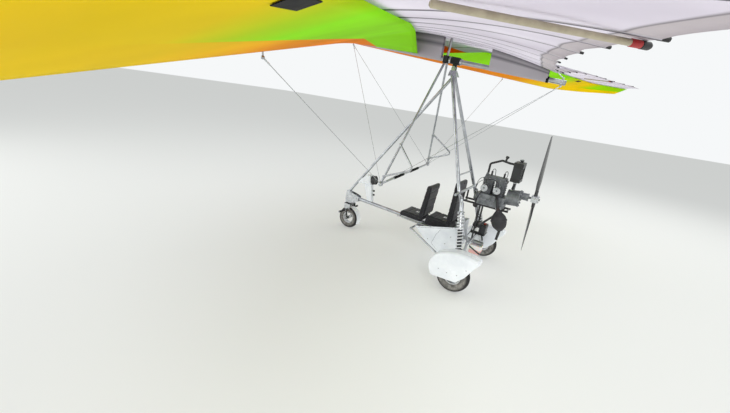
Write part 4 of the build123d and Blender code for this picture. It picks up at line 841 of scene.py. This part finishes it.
# Mudguard: a white moulded shell with a crowned top and rolled edges, on a bent plate stay.
guard_line = (
    (-0.049, 0.1795), (-0.0495, 0.1835), (-0.046, 0.1868), (-0.036, 0.1888), (-0.018, 0.1902),
    (0, 0.1907), (0.018, 0.1902), (0.036, 0.1888), (0.046, 0.1868), (0.0495, 0.1835),
    (0.049, 0.1795),
)
guard_turns = [math.radians(87 + 112 * step / 30) for step in range(31)]
guard_rows = []
for turn in guard_turns:
    ends = min(turn - guard_turns[0], guard_turns[-1] - turn) / 0.16
    narrow = 1 if ends > 1 else 0.86 + 0.14 * math.sqrt(max(0, ends * (2 - ends)))
    guard_rows.append([
        Vector((nose_axle_x + reach * math.cos(turn), out * narrow,
                nose_axle_z + reach * math.sin(turn)))
        for out, reach in guard_line
    ])
guard = cloth_grid("mudguard_shell", guard_rows, 0.0028)
stay = block("stay", (0.030, 0.040, 0.0124), Matrix.Translation((nose_axle_x, 0, 0.3655)))
modified("BEVEL", width=0.003, segments=3)
belongs(
    joined("mudguard_shell", [guard, stay]), gelcoat, "steering_fork", "moulded_white", "mudguard"
)


# Instrument: a round moulded case on the pod with a black bezel, a dark card with plain white
# ticks and one hand, and two knobs on the column's rear face.
face_low, face_high = Vector((1.640, 0, 0.790)), Vector((1.672, 0, 0.930))
face_out = Vector((-(face_high - face_low).z, 0, (face_high - face_low).x)).normalized()
face_up = (face_high - face_low).normalized()
face_aside = face_out.cross(face_up)
case_foot = (face_low + face_high) / 2 + face_out * 0.0003
dressed(black_nylon, "instrument_dial")
belongs(turned(
    "dial_bezel", ((60, 50.5), (66.2, 50.5), (66.8, 53.5), (65, 56.5), (61.2, 56), (58.5, 52.5),
                   (60, 50.5)), case_foot, face_out, 64, 0.7,
), black_nylon, "trike", "dial_case")
dial_paint = finish_of("printed_dial_card", ("#1B1D20", "#24272A"), 20, (0.4, 0.5), 1, 0.02)
tick_paint = finish_of("white_dial_print", ("#D8D9D4", "#ECEDE8"), 10, (0.4, 0.5), 1, 0.02)
belongs(turned(
    "dial_card", ((57.5, 46.2), (57.5, 47.5), (12, 47.7), (1, 47.7)), case_foot, face_out, 48
), dial_paint, "trike", "dial_case")
ticks = []
for step in range(25):
    turn = math.radians(225 - 270 * step / 24)
    way = face_aside * math.cos(turn) + face_up * math.sin(turn)
    inner, wide = (0.046, 0.0009) if step % 4 else (0.042, 0.0014)
    ticks.append((way, inner, 0.052, wide))
ticks.append(((face_aside * 0.5 + face_up * 0.87).normalized(), -0.010, 0.040, 0.0018))
belongs(joined("dial_ticks", [
    block("mark", (outer - inner, wide, 0.0008), Matrix.Translation(
        case_foot + face_out * 0.0481 + way * (inner + outer) / 2
    ) @ Matrix((way, face_out.cross(way), face_out)).transposed().to_4x4())
    for way, inner, outer, wide in ticks
]), tick_paint, "trike", "dial_case")
belongs(joined("pod_knobs", [
    turned("knob", ((6, -12), (6, 6), (13.5, 7), (14.5, 10), (14.5, 20), (12, 24), (4, 25)),
           (x, 0, z), (-0.96, 0, 0.25), 24)
    for x, z in ((1.6205, 0.700), (1.6135, 0.640))
]), black_nylon, "trike", "dial_case")


# Seats: foam squabs and backs in black woven nylon covers, with a welt sewn round each side and
# pulled channels across. They are blown up from a smaller blank as cloth, then seamed.
def woven_nylon(name, light, dark):
    """A plain weave of thick yarn, drawn at 4 mm where the real one is 1 mm, with dust in it
    and painted shade in the hollows between the threads.
    """
    made, tree, where = new_material(name)
    cloud = add_node(tree, "TexNoise", {"Scale": 9.0, "Detail": 5.0, "Vector": where})
    threads = [
        add_node(tree, "TexWave", {
            "Scale": 78.0, "bands_direction": way, "Distortion": 0.6, "Vector": where,
        })
        for way in "XYZ"
    ]
    pair = add_node(tree, "Math", {"operation": "ADD", 0: (threads[0], 1), 1: (threads[1], 1)})
    weave = add_node(tree, "Math", {"operation": "ADD", 0: (pair, 0), 1: (threads[2], 1)})
    height = add_node(tree, "Math", {"operation": "DIVIDE", 1: 3.0, 0: (weave, 0)})
    # Colour follows the dust patches times the weave's height, so the hollows get painted shade.
    lit = add_node(tree, "Math", {"operation": "MULTIPLY", 0: (cloud, 0), 1: (height, 0)})
    return coloured(
        made, ((0.05, dark), (0.45, light)), (lit, 0), (height, 0), 0.35, 0.0008,
        {"Roughness": 0.82, "Sheen Weight": 0.25, "Sheen Roughness": 0.5,
         "Specular IOR Level": 0.25},
    )


def round_line(spots, radius, rounds, **settings):
    """A round bar along a smooth line by a few spots, made a mesh and left selected."""
    line = bpy.data.curves.new("line", "CURVE")
    line.dimensions = "3D"
    line.bevel_depth, line.bevel_resolution = radius, rounds
    spline = line.splines.new("NURBS")
    spline.points.add(len(spots) - 1)
    for point, spot in zip(spline.points, spots):
        point.co = (*spot, 1)
    for key, value in settings.items():
        setattr(spline, key, value)
    piece = bpy.data.objects.new("line", line)
    scene.collection.objects.link(piece)
    piece.select_set(True)
    bpy.context.view_layer.objects.active = piece
    bpy.ops.object.convert(target="MESH")
    return bpy.context.object


seat_cover = woven_nylon("woven_black_seat_nylon", "#2E2E33", "#141416")
webbing = woven_nylon("woven_belt_webbing", "#3A3A40", "#1A1A1D")
blow_frames = 20
channel_reach, channel_depth, channel_width = 0.022, 0.0065, 0.007
welt_radius = 0.0042


def stuffed_pad(name, corners, half, swell, seams):
    """A pad from its side's four corners, blown up as cloth by no more than a given swell."""
    bpy.ops.mesh.primitive_cube_add(size=1)
    pad = bpy.context.object
    pad.name = name
    for vertex in pad.data.vertices:
        x, z = corners[(0, 1, 3, 2)[2 * (vertex.co.z > 0) + (vertex.co.x > 0)]]
        vertex.co = (x, half if vertex.co.y > 0 else -half, z)
    modified("BEVEL", width=0.016, segments=4)
    bpy.ops.object.mode_set(mode="EDIT")
    bpy.ops.mesh.select_all(action="SELECT")
    bpy.ops.mesh.normals_make_consistent(inside=False)
    bpy.ops.object.mode_set(mode="OBJECT")
    pad.data.remesh_voxel_size = 0.0065
    bpy.ops.object.voxel_remesh()
    start = [vertex.co.copy() for vertex in pad.data.vertices]
    outward = [vertex.normal.copy() for vertex in pad.data.vertices]
    cloth = pad.modifiers.new("cover", "CLOTH")
    cloth.settings.use_pressure = True
    cloth.settings.uniform_pressure_force = 4
    cloth.settings.effector_weights.gravity = 0
    cloth.settings.quality = 4
    cloth.point_cache.frame_start = 1
    cloth.point_cache.frame_end = blow_frames
    for step in range(1, blow_frames + 1):
        scene.frame_set(step)
    ready = pad.evaluated_get(bpy.context.evaluated_depsgraph_get())
    blown = [vertex.co.copy() for vertex in ready.to_mesh().vertices]
    ready.to_mesh_clear()
    pad.modifiers.remove(cloth)
    scene.frame_set(1)
    foot, far, _, top = [Vector((x, 0, z)) for x, z in corners]
    run = max(top - foot, far - foot, key=lambda way: way.length)
    for vertex, place, full, way in zip(pad.data.vertices, start, blown, outward):
        move = full - place
        most = swell * (0.1 if way.z < -0.75 else 1)
        if move.length > most:
            move *= most / move.length
        vertex.co = place + move
        share = (place - foot).dot(run) / run.length_squared
        for seam in seams:
            near = abs(share - seam) * run.length
            if near < channel_reach and abs(way.y) < 0.7:
                vertex.co -= way * channel_depth * math.exp(-(near / channel_width) ** 2)
    modified("SMOOTH", factor=0.5, iterations=2)
    modified("SUBSURF", levels=1, render_levels=1)
    smoothed(pad)
    welts = []
    for side in (1, -1):
        loop = []
        for first, last in zip(corners, corners[1:] + corners[:1]):
            for step in range(11):
                share = 0.04 + 0.92 * step / 10
                aim = Vector((first[0] + (last[0] - first[0]) * share, side * (half + 0.004),
                              first[1] + (last[1] - first[1]) * share))
                loop.append(pad.closest_point_on_mesh(aim)[1])
        welts.append(smoothed(round_line(loop, welt_radius, 2, use_cyclic_u=True, order_u=3)))
    return pad, joined(f"{name}_welts", welts)


# By columns: piece, node that it stands for, four corners of its side from the lower rear round
# to the upper rear, most swell, places of the sewn channels along it, firmness.
pads = (
    ("front_squab", "front_seat",
     ((0.716, 0.5225), (1.050, 0.5360), (1.050, 0.592), (0.760, 0.582)), 0.012, (0.36, 0.68), 0.6),
    ("front_back", "front_seat",
     ((0.706, 0.594), (0.772, 0.594), (0.718, 1.044), (0.670, 1.044)), 0.010,
     (0.30, 0.55, 0.80), 0.5),
    ("rear_squab", "rear_seat",
     ((0.312, 0.5060), (0.666, 0.5205), (0.666, 0.630), (0.360, 0.618)), 0.012, (0.36, 0.68), 0.6),
    ("rear_back", "rear_seat",
     ((0.310, 0.632), (0.376, 0.632), (0.356, 1.188), (0.310, 1.188)), 0.010,
     (0.25, 0.50, 0.75), 0.5),
)
made_pads = {}
for name, node, corners, swell, seams, firm in pads:
    pad, welts = stuffed_pad(name, corners, 0.190, swell, seams)
    made_pads[name] = pad
    belongs(pad, seat_cover, "trike", "seat_cover", node)
    belongs(welts, webbing, "trike", "seat_cover", node)

# Lap belts: 45 mm webbing over each squab to a pressed-steel buckle a little off the middle.
buckle_steel = finish_of(
    "pressed_bright_steel", ("#8F9295", "#BDC0C2"), 20, (0.2, 0.32), 0.8, 0.04,
    {"Metallic": 0.95},
)
no_pad_height, buckle_out = 0.56, 0.03
for seat, x in (("front", 0.835), ("rear", 0.435)):
    squab = made_pads[f"{seat}_squab"]
    rows = []
    for step in range(29):
        y = -0.196 + 0.392 * step / 28
        middle = x - 0.10 * (abs(y) / 0.2) ** 2
        row = []
        for out in (-0.0225, -0.011, 0, 0.011, 0.0225):
            found, spot, _, _ = squab.ray_cast(Vector((middle + out, y, 0.9)), Vector((0, 0, -1)))
            height = spot.z if found else no_pad_height
            row.append(Vector((middle + out, y, height + 0.0022)))
        level = max(point.z for point in row)
        for point in row:
            point.z = max(point.z, level - 0.003)
        rows.append(row)
    belongs(cloth_grid(f"lap_belt_{seat}", rows, 0.0018), webbing, "trike", "seat_cover")
    spot = squab.ray_cast(Vector((x, buckle_out, 0.9)), Vector((0, 0, -1)))[1]
    belongs(joined(f"buckle_{seat}", [
        block("frame", (0.052, 0.062, 0.012),
              Matrix.Translation((x, buckle_out, spot.z + 0.010)), 0.004),
        turned("button", ((11, 0), (11, 2.5), (9.5, 3.5)),
               (x, buckle_out, spot.z + 0.0158), (0, 0, 1), 24),
    ]), buckle_steel, "trike", "steel_fittings")


# Fairing: the moulded tub's joint line shows as a dark groove on each side, with quarter-turn
# fasteners along its upper edge. Both follow the tub's own surface.
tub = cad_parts["underseat_fairing"]
joint_filler = finish_of("dark_joint_sealant", ("#3B3E42", "#55585C"), 20, (0.5, 0.7), 1, 0.1)
for side, sign in both_sides:
    seams = []
    for line in (
        ((0.385, 0.32, 0.540), (0.440, 0.30, 0.447), (0.487, 0.27, 0.300), (0.450, 0.25, 0.262),
         (0.392, 0.24, 0.215)),
        ((0.720, 0.32, 0.468), (0.560, 0.33, 0.510), (0.385, 0.33, 0.560), (0.215, 0.33, 0.606)),
    ):
        rows = []
        for first, last in zip(line, line[1:]):
            for step in range(8):
                aim = Vector(first).lerp(Vector(last), step / 8)
                aim.y *= sign
                rows.append(tub.closest_point_on_mesh(aim)[1:3])
        strip = []
        for (spot, normal), (ahead, _) in zip(rows, rows[1:]):
            across = (ahead - spot).cross(normal).normalized() * 0.0013
            strip.append([spot - across, spot + normal * 0.0005, spot + across])
        seams.append(cloth_grid("seam", strip, 0.0008))
    belongs(joined(f"fairing_joint_{side}", seams), joint_filler, "trike", "moulded_white")


def seated_heads(name, shell, spots, rings_mm, sides):
    """Turned heads seated square on a shell, each at the surface nearest to its spot."""
    belongs(joined(name, [
        turned("head", rings_mm, *shell.closest_point_on_mesh(Vector(spot))[1:3], sides)
        for spot in spots
    ]), buckle_steel, "trike", "steel_fittings")


for side, sign in both_sides:
    seated_heads(f"fairing_studs_{side}", tub, [(x, sign * 0.34, z) for x, z in (
        (0.68, 0.492), (0.53, 0.535), (0.38, 0.578), (0.24, 0.612), (0.24, 0.46), (0.30, 0.33),
        (0.54, 0.33),
    )], ((7.5, -1), (7.5, 1.2), (6, 2), (2.5, 2), (2.2, 1.2)), 20)

# Spats: two-part glass-fibre shells with screws through to a bracket behind the wheel.
for side, sign in both_sides:
    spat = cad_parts[f"spat_{side}"]
    seated_heads(f"spat_screws_{side}", spat, [(x, sign * 0.83, z) for x, z in (
        (-0.150, 0.350), (-0.060, 0.255), (0.060, 0.245), (0.165, 0.260),
    )], ((6.5, -0.8), (6.5, 1), (5, 2.2), (2, 2.4)), 18)


# Shock absorbers: a white powder-coated coil over a black damper, between two pressed cups, with
# a sliding leg below. The coil is a round wire wound eleven turns.
def coil_spring(name, radius, wire, pitch, turns, foot, axis):
    """A helical spring: a round section wound about the axis, closed at both ends."""
    bpy.ops.mesh.primitive_circle_add(vertices=12, radius=wire, fill_type="NOTHING")
    spring = bpy.context.object
    spring.name = name
    spring.data.transform(
        Matrix.Translation((radius, 0, 0)) @ Matrix.Rotation(math.pi / 2, 4, "X")
    )
    modified(
        "SCREW", angle=math.tau, iterations=turns, screw_offset=pitch, steps=24, render_steps=24
    )
    return closed(spring, 0.00001, 1.0, 0, standing(foot, axis))


white_coil = finish_of(
    "white_powder_coated_steel", ("#DADDE0", "#ECEEF0"), 30, (0.28, 0.4), 2, 0.1,
    {"Coat Weight": 0.2},
)
grey_damper = finish_of(
    "grey_anodised_damper", ("#A4A8AD", "#C3C7CB"), 40, (0.25, 0.38), 1, 0.06, {"Metallic": 0.7}
)
chrome_rod = finish_of(
    "hard_chromed_steel", ("#B9BCBF", "#D5D7D9"), 30, (0.08, 0.16), 1, 0.02, {"Metallic": 1.0}
)
dark_damper = finish_of(
    "black_painted_damper", ("#1B1C1E", "#2E3033"), 40, (0.3, 0.45), 1, 0.06, {"Metallic": 0.2}
)
for side, sign in both_sides:
    low = Vector((0, sign * 0.585, 0.268))
    way = Vector((0.199, sign * 0.356, 1.046)) - low
    long = 1000 * way.length
    way.normalize()
    for piece, made in (
        (coil_spring(f"coil_{side}", 0.0378, 0.0062, 0.0386, 11, low + way * 0.2195, way),
         white_coil),
        (turned(
            f"damper_{side}",
            ((10, 16.5), (19, 20), (19, 180), (22, 186), (22, 200), (44, 203), (45, 206),
             (45, 211.5), (30, 213), (27.5, 216), (27.5, 430), (29.5, 432), (29.5, 440),
             (27, 442)), low, way, 40, 0.5,
        ), dark_damper),
        (turned(f"damper_rod_{side}", ((10.5, 440), (10.5, 652), (9, 653)), low, way, 24),
         chrome_rod),
        (turned(
            f"damper_cap_{side}",
            ((30, 650), (45, 651.5), (45, 657), (40, 662), (26, 668), (26, 770), (23, 776),
             (15, 782), (15, long - 17)), low, way, 40, 0.5,
        ), grey_damper),
    ):
        belongs(piece, made, "trike", "steel_fittings", f"shock_{side}")
dressed(anodised_tube, "gear_arm_port", "gear_arm_starboard")


# Engine castings: sand-cast aluminium, blasted, with a coarse grain and darker oily patches. The
# barrels and the head are painted dull grey against heat.
cast_alloy = finish_of(
    "sand_cast_aluminium", ((0.3, "#56595C"), (0.55, "#7D8083"), (0.8, "#9A9DA0")), 60,
    (0.42, 0.62), 2.2, 0.4, {"Metallic": 0.75},
)
barrel_paint = finish_of(
    "heat_proof_grey_paint", ("#4B4D50", "#6B6E71"), 50, (0.45, 0.62), 1.8, 0.3,
    {"Metallic": 0.3},
)
exhaust_paint = finish_of(
    "scorched_exhaust_paint", ((0.30, "#17171A"), (0.58, "#232225"), (0.80, "#4A3226")), 80,
    (0.5, 0.75), 2, 0.4,
)
dressed(cast_alloy, "crankcase", "gearbox", "carburettors")
dressed(barrel_paint, "cylinders", "cylinder_head")
dressed(exhaust_paint, "muffler", "exhaust_pipe")
dressed(ribbed_rubber, "coolant_hoses")
dressed(milled_plate, "propeller_hub")


# Fasteners: plated bolts round the crankcase joint, the head, the gearbox cover and the hub.
def hex_heads(name, body, spots, way, radius, height):
    """Hexagon heads with a washer under each, one at every spot."""
    belongs(joined(name, [
        turned("head", rings_mm, spot, way, sides, sharp)
        for spot in spots
        for rings_mm, sides, sharp in (
            (((radius * 1.25, -0.4), (radius * 1.25, 1.2), (radius * 1.1, 1.4)), 16, 0.6),
            (((radius, 0.8), (radius, height), (radius * 0.84, height + 0.8)), 6, 0.4),
        )
    ]), zinc_bolt, body, "steel_fittings")


def bolt_ring(x, z, radius, count):
    """Spots round a circle that faces along X."""
    turns = [math.tau * i / count for i in range(count)]
    return [(x, radius * math.cos(turn), z + radius * math.sin(turn)) for turn in turns]


hex_heads(
    "engine_bolts", "trike",
    [(-0.236 + 0.052 * i, sign * 0.1290, 1.0512) for i in range(7) for sign in (1, -1)]
    + [(-0.205 + 0.065 * i, sign * 0.0690, 1.3050) for i in range(5) for sign in (1, -1)],
    (0, 0, 1), 5.8, 5.2,
)
hex_heads("cover_bolts", "trike", bolt_ring(-0.4083, 1.140, 0.088, 8), (-1, 0, 0), 5.6, 5)
hex_heads(
    "propeller_bolts", "propeller", bolt_ring(-0.6000, 1.180, 0.036, 6), (-1, 0, 0), 5.2, 5
)

# Starter cover: a pressed disc with cooling slots all round it and a plated ring at its middle.
belongs(joined("starter_slots", [
    block("slot", (0.0016, 0.012, 0.005), Matrix.Translation((0.1222, 0, 1.0433))
          @ Matrix.Rotation(math.tau * step / 12, 4, "X") @ Matrix.Translation((0, 0.055, 0)))
    for step in range(12)
]), black_nylon, "trike", "engine_casting")
belongs(turned(
    "starter_ring", ((40, 0), (49, 0), (50, 2), (49, 5), (40, 5), (38.5, 2.5), (40, 0)),
    (0.1320, 0, 1.0433), (1, 0, 0), 48,
), zinc_bolt, "trike", "engine_casting")


# Ignition: rubber boots over the two plugs, with leads looped back to a moulded coil box.
def fixed_lead(spots, radius):
    """A lead clipped at both ends, on one smooth line by a few spots."""
    lead = round_line(spots, radius, 3, order_u=4, use_endpoint_u=True, resolution_u=10)
    bpy.ops.object.mode_set(mode="EDIT")
    bpy.ops.mesh.select_all(action="SELECT")
    bpy.ops.mesh.fill_holes(sides=0)
    bpy.ops.object.mode_set(mode="OBJECT")
    return smoothed(lead, 1.0)


plugs = ((-0.014, -0.050), (-0.164, -0.070))
belongs(joined("plug_boots", [
    turned("boot", ((11.5, 0), (12.5, 3), (11, 12), (11, 32), (12.2, 35), (12.2, 42), (8.5, 48),
                    (5, 52)), (x, 0.034, 1.350), (0, 0, 1), 24)
    for x, _ in plugs
]), ribbed_rubber, "trike", "hose_rubber")
belongs(joined("plug_leads", [
    fixed_lead((
        (x, 0.034, 1.398), (x, 0.034, 1.418), (x - 0.012, -0.010, 1.432),
        (x - 0.020, -0.090, 1.400), (x - 0.010, -0.118, 1.300), (-0.100, -0.128, 1.200),
        (-0.095, end_y - 0.075, 1.165),
    ), 0.0036)
    for x, end_y in plugs
]), ribbed_rubber, "trike", "hose_rubber")
belongs(block(
    "ignition_box", (0.085, 0.030, 0.075), Matrix.Translation((-0.100, -0.1385, 1.130)), 0.005
), black_nylon, "trike", "engine_casting")

# Air filters: pleated cotton cones between a rubber foot and a pressed end cap.
filter_cotton = finish_of(
    "oiled_filter_cotton", ("#5E1A17", "#7C2620"), 20, (0.7, 0.9), 0.8, 0.5
)
filter_z = 1.2036
for x, place in ((0, "front"), (-0.150, "rear")):
    for name, out, rings_mm, sides, sharp, made in (
        ("", 0.1795, ((37, 0), (38, 12), (39.5, 28), (41.5, 43)), 72, 0.3, filter_cotton),
        ("cap_", 0.2215, ((42.5, 0), (44, 2), (44, 6), (42, 9), (30, 10.2), (10, 8.5)), 40, 0.6,
         buckle_steel),
        ("foot_", 0.1735, ((34, 0), (38.5, 1.5), (38.5, 7), (34, 8.5)), 40, 0.6, ribbed_rubber),
    ):
        piece = turned(
            f"filter_{name}{place}", rings_mm, (x, out, filter_z), (0, 1, 0), sides, sharp
        )
        if made == filter_cotton:
            for vertex in list(piece.data.vertices)[1::2]:
                vertex.co.x = x + (vertex.co.x - x) * 0.92
                vertex.co.z = filter_z + (vertex.co.z - filter_z) * 0.92
        belongs(piece, made, "trike", "engine_casting")

# Filler: a short upright neck on the arch of the coolant hose, with a moulded cap.
belongs(turned(
    "hose_filler",
    ((12.5, -12), (12.5, 34), (19, 34), (20, 38), (20, 54), (18.5, 58), (6, 59)),
    (-0.130, 0, 1.5500), (-0.16, 0, 1), 24, 0.5,
), black_nylon, "trike", "hose_rubber")

# Throttle cables: black sheathed wire from each carburettor's top to a clip on the crankcase.
belongs(joined("throttle_cables", [
    fixed_lead((
        (x, 0.170, 1.2500), (x, 0.172, 1.300), (x + 0.060, 0.165, 1.335), (0.110, 0.142, 1.270),
        (0.124, 0.116 + shift, 1.170), (0.112, 0.104 + shift, 1.095),
    ), 0.0032)
    for x, shift in ((-0.145, 0.0), (-0.005, 0.010))
]), ribbed_rubber, "trike", "hose_rubber")

# Hose clamps: bright steel bands with a worm screw, on the coolant hose and the manifolds.
clamps = []
for foot, axis, radius in (
    ((0.040, 0, 1.3535), (0, 0, 1), 13.7), ((-0.256, 0, 1.5300), (1, 0, 0), 13.7),
    ((0, 0.0860, filter_z), (0, 1, 0), 21.7), ((-0.150, 0.0860, filter_z), (0, 1, 0), 21.7),
    ((-0.300, 0.060, 1.3140), (0, 0, 1), 13.7),
):
    outer = radius + 0.8
    clamps.append(turned(
        "clamp", ((radius, 0), (outer, 0.4), (outer, 9.6), (radius, 10), (radius, 0)), foot, axis
    ))
    aside = Vector(axis).orthogonal().normalized()
    clamps.append(turned(
        "worm", ((3, -8), (3.4, -7), (3.4, 5), (4.5, 6), (4.5, 9)),
        Vector(foot) + Vector(axis) * 0.005 + aside * (radius + 3.5) / 1000,
        Vector(axis).cross(aside), 12,
    ))
belongs(joined("hose_clamps", clamps), buckle_steel, "trike", "steel_fittings")


# Radiator: a black painted core with its fins drawn at 4 mm, where real ones are 2 mm apart,
# and painted shade in the gaps between the fins.
made, tree, where = new_material("black_radiator_paint")
fins = add_node(tree, "TexWave", {"Scale": 78.0, "bands_direction": "Y", "Vector": where})
cloud = add_node(tree, "TexNoise", {"Scale": 14.0, "Detail": 4.0, "Vector": where})
# Colour: the fin stripes times soft patches, darker in the gaps between fins as painted shade.
lit = add_node(tree, "Math", {"operation": "MULTIPLY", 0: (fins, 1), 1: (cloud, 0)})
dressed(coloured(
    made, ((0.05, "#0E0F10"), (0.5, "#2C2E31")), (lit, 0), (fins, 0), 0.5, 0.0010,
    {"Roughness": 0.5},
), "radiator")
belongs(turned(
    "radiator_cap", ((23.5, 0), (25, 2), (25, 6), (18, 8), (17, 12), (6, 13)),
    (-0.300, -0.070, 1.5885), (0, 0, 1),
), buckle_steel, "trike", "steel_fittings")

# Muffler: three pull springs across the ball joint of the pipe, and a band round the case.
pipe_way = Vector((-90, 0, -260)).normalized()
joint = Vector((-0.215, 0.205, 0.985))
springs = []
for turn in (0.6, 2.7, 4.8):
    aside = Vector((0, 1, 0)) * math.cos(turn) + pipe_way.cross(Vector((0, 1, 0))) * math.sin(turn)
    springs.append(coil_spring(
        "spring", 0.0042, 0.0010, 0.0026, 13, joint + aside * 0.0300 - pipe_way * 0.028, pipe_way
    ))
belongs(joined("muffler_springs", springs), zinc_bolt, "trike", "steel_fittings")
belongs(turned(
    "muffler_band", ((95, 126.5), (96.2, 126.8), (96.2, 139.2), (95, 139.5), (94.5, 133),
                     (95, 126.5)), joint, pipe_way, 64,
), powder_coat, "trike", "steel_fittings")


# Battery: a black polypropylene case under a webbing strap, with a blank white plate on its side
# and coloured covers on the two posts.
polypropylene = finish_of(
    "black_polypropylene", ("#191A1B", "#2A2B2D"), 40, (0.38, 0.55), 1.2, 0.2
)
dressed(polypropylene, "battery_box")
blank_plate = finish_of("blank_white_plate", ("#D5D6D3", "#E6E7E4"), 30, (0.35, 0.5), 1, 0.04)
for name, middle, sizes, edge, made in (
    ("plate", (0.006, 0.0712, 0.628), (0.082, 0.0016, 0.052), 0.0006, blank_plate),
    ("cover_positive", (-0.085, 0, 0.7110), (0.030, 0.044, 0.014), 0.003, red_sleeve),
    ("cover_negative", (0.025, 0, 0.7110), (0.030, 0.044, 0.014), 0.003, black_nylon),
):
    cover = block(f"battery_{name}", sizes, Matrix.Translation(middle), edge)
    belongs(cover, made, "trike", "battery_case")
strap_line = [
    (0.0745, 0.580), (0.0762, 0.670), (0.0765, 0.690), (0.073, 0.7045), (0.050, 0.7050),
    (0, 0.7055),
]
strap_line += [(-y, z) for y, z in reversed(strap_line[:-1])]
belongs(cloth_grid("battery_strap", [
    [Vector((x, y, z)) for y, z in strap_line] for x in (-0.064, -0.052, -0.040)
], 0.0018), webbing, "trike", "seat_cover")


# Overflow bottle: blow-moulded natural polythene, milky and a little pink from the coolant in it,
# with a black strap and cap.
made, tree, where = new_material("natural_polythene")
parts = add_node(tree, "SeparateXYZ", {0: where})
level = add_node(tree, "MapRange", {"From Min": 0.335, "From Max": 0.352, "Value": (parts, "Z")})
grit = add_node(tree, "TexNoise", {"Scale": 300.0, "Detail": 2.0, "Vector": where})
dressed(coloured(
    made, ((0.0, "#D9A9A2"), (1.0, "#E6DFDA")), (level, 0), (grit, 0), 0.2, 0.0003,
    {"Roughness": 0.35, "IOR": 1.5, "Subsurface Weight": 0.4, "Subsurface Scale": 0.01},
), "overflow_bottle")
corner_bend = 0.13
ring = []
for step in range(48):
    wide, deep = math.cos(math.tau * step / 48), math.sin(math.tau * step / 48)
    ring.append((
        abs(wide) ** corner_bend * math.copysign(0.0772, wide) - 0.045,
        abs(deep) ** corner_bend * math.copysign(0.0722, deep),
    ))
belongs(cloth_grid("bottle_strap", [
    [Vector((x, y, 0.342 + 0.45 * (x + 0.045) + rise)) for x, y in ring + ring[:1]]
    for rise in (-0.010, 0, 0.010)
], 0.0016), webbing, "trike", "seat_cover")
belongs(turned(
    "bottle_cap", ((18.5, 0), (19, 2), (19, 18), (17.5, 20.5), (5, 21)),
    (-0.045, -0.050, 0.4105), (0, 0, 1), 28,
), black_nylon, "trike", "bottle_plastic")

# Fuel pump: a round black pump clipped to the port bearer, with a lead of fuel hose each way.
belongs(turned(
    "fuel_pump", ((12, 0), (22, 1), (28, 4), (28, 11), (30.5, 12), (30.5, 17), (28, 18),
                  (28, 25), (24, 29), (10, 30)), (0.075, 0.1032, 0.945), (0, 1, 0), 40, 0.5,
), black_nylon, "trike", "engine_casting")
belongs(joined("fuel_hoses", [fixed_lead(spots, 0.0045) for spots in (
    ((0.075, 0.119, 0.972), (0.078, 0.124, 1.020), (0.060, 0.150, 1.100), (0.020, 0.158, 1.150),
     (0.004, 0.150, 1.172)),
    ((0.050, 0.119, 0.935), (0.030, 0.124, 0.920), (0.028, 0.118, 0.850), (0.034, 0.112, 0.700),
     (0.045, 0.104, 0.600), (0.080, 0.100, 0.530)),
)]), ribbed_rubber, "trike", "hose_rubber")


# Propeller: moulded black carbon composite, satin, with its twill drawn two ways across.
made, tree, where = new_material("satin_carbon_composite")
across = add_node(tree, "Mapping", {"Rotation": (0, 0, math.pi / 2), "Vector": where})
first, second = [
    add_node(tree, "TexWave", {"Scale": 52.0, "bands_direction": "DIAGONAL", "Vector": way})
    for way in (where, (across, 0))
]
twill = add_node(tree, "Math", {"operation": "MAXIMUM", 0: (first, 1), 1: (second, 1)})
dressed(coloured(
    made, ((0.2, "#0F0F11"), (0.9, "#1F2023")), (twill, 0), (twill, 0), 0.15, 0.0002,
    {"Roughness": 0.34, "Coat Weight": 0.4, "Coat Roughness": 0.15},
), "propeller_blades")
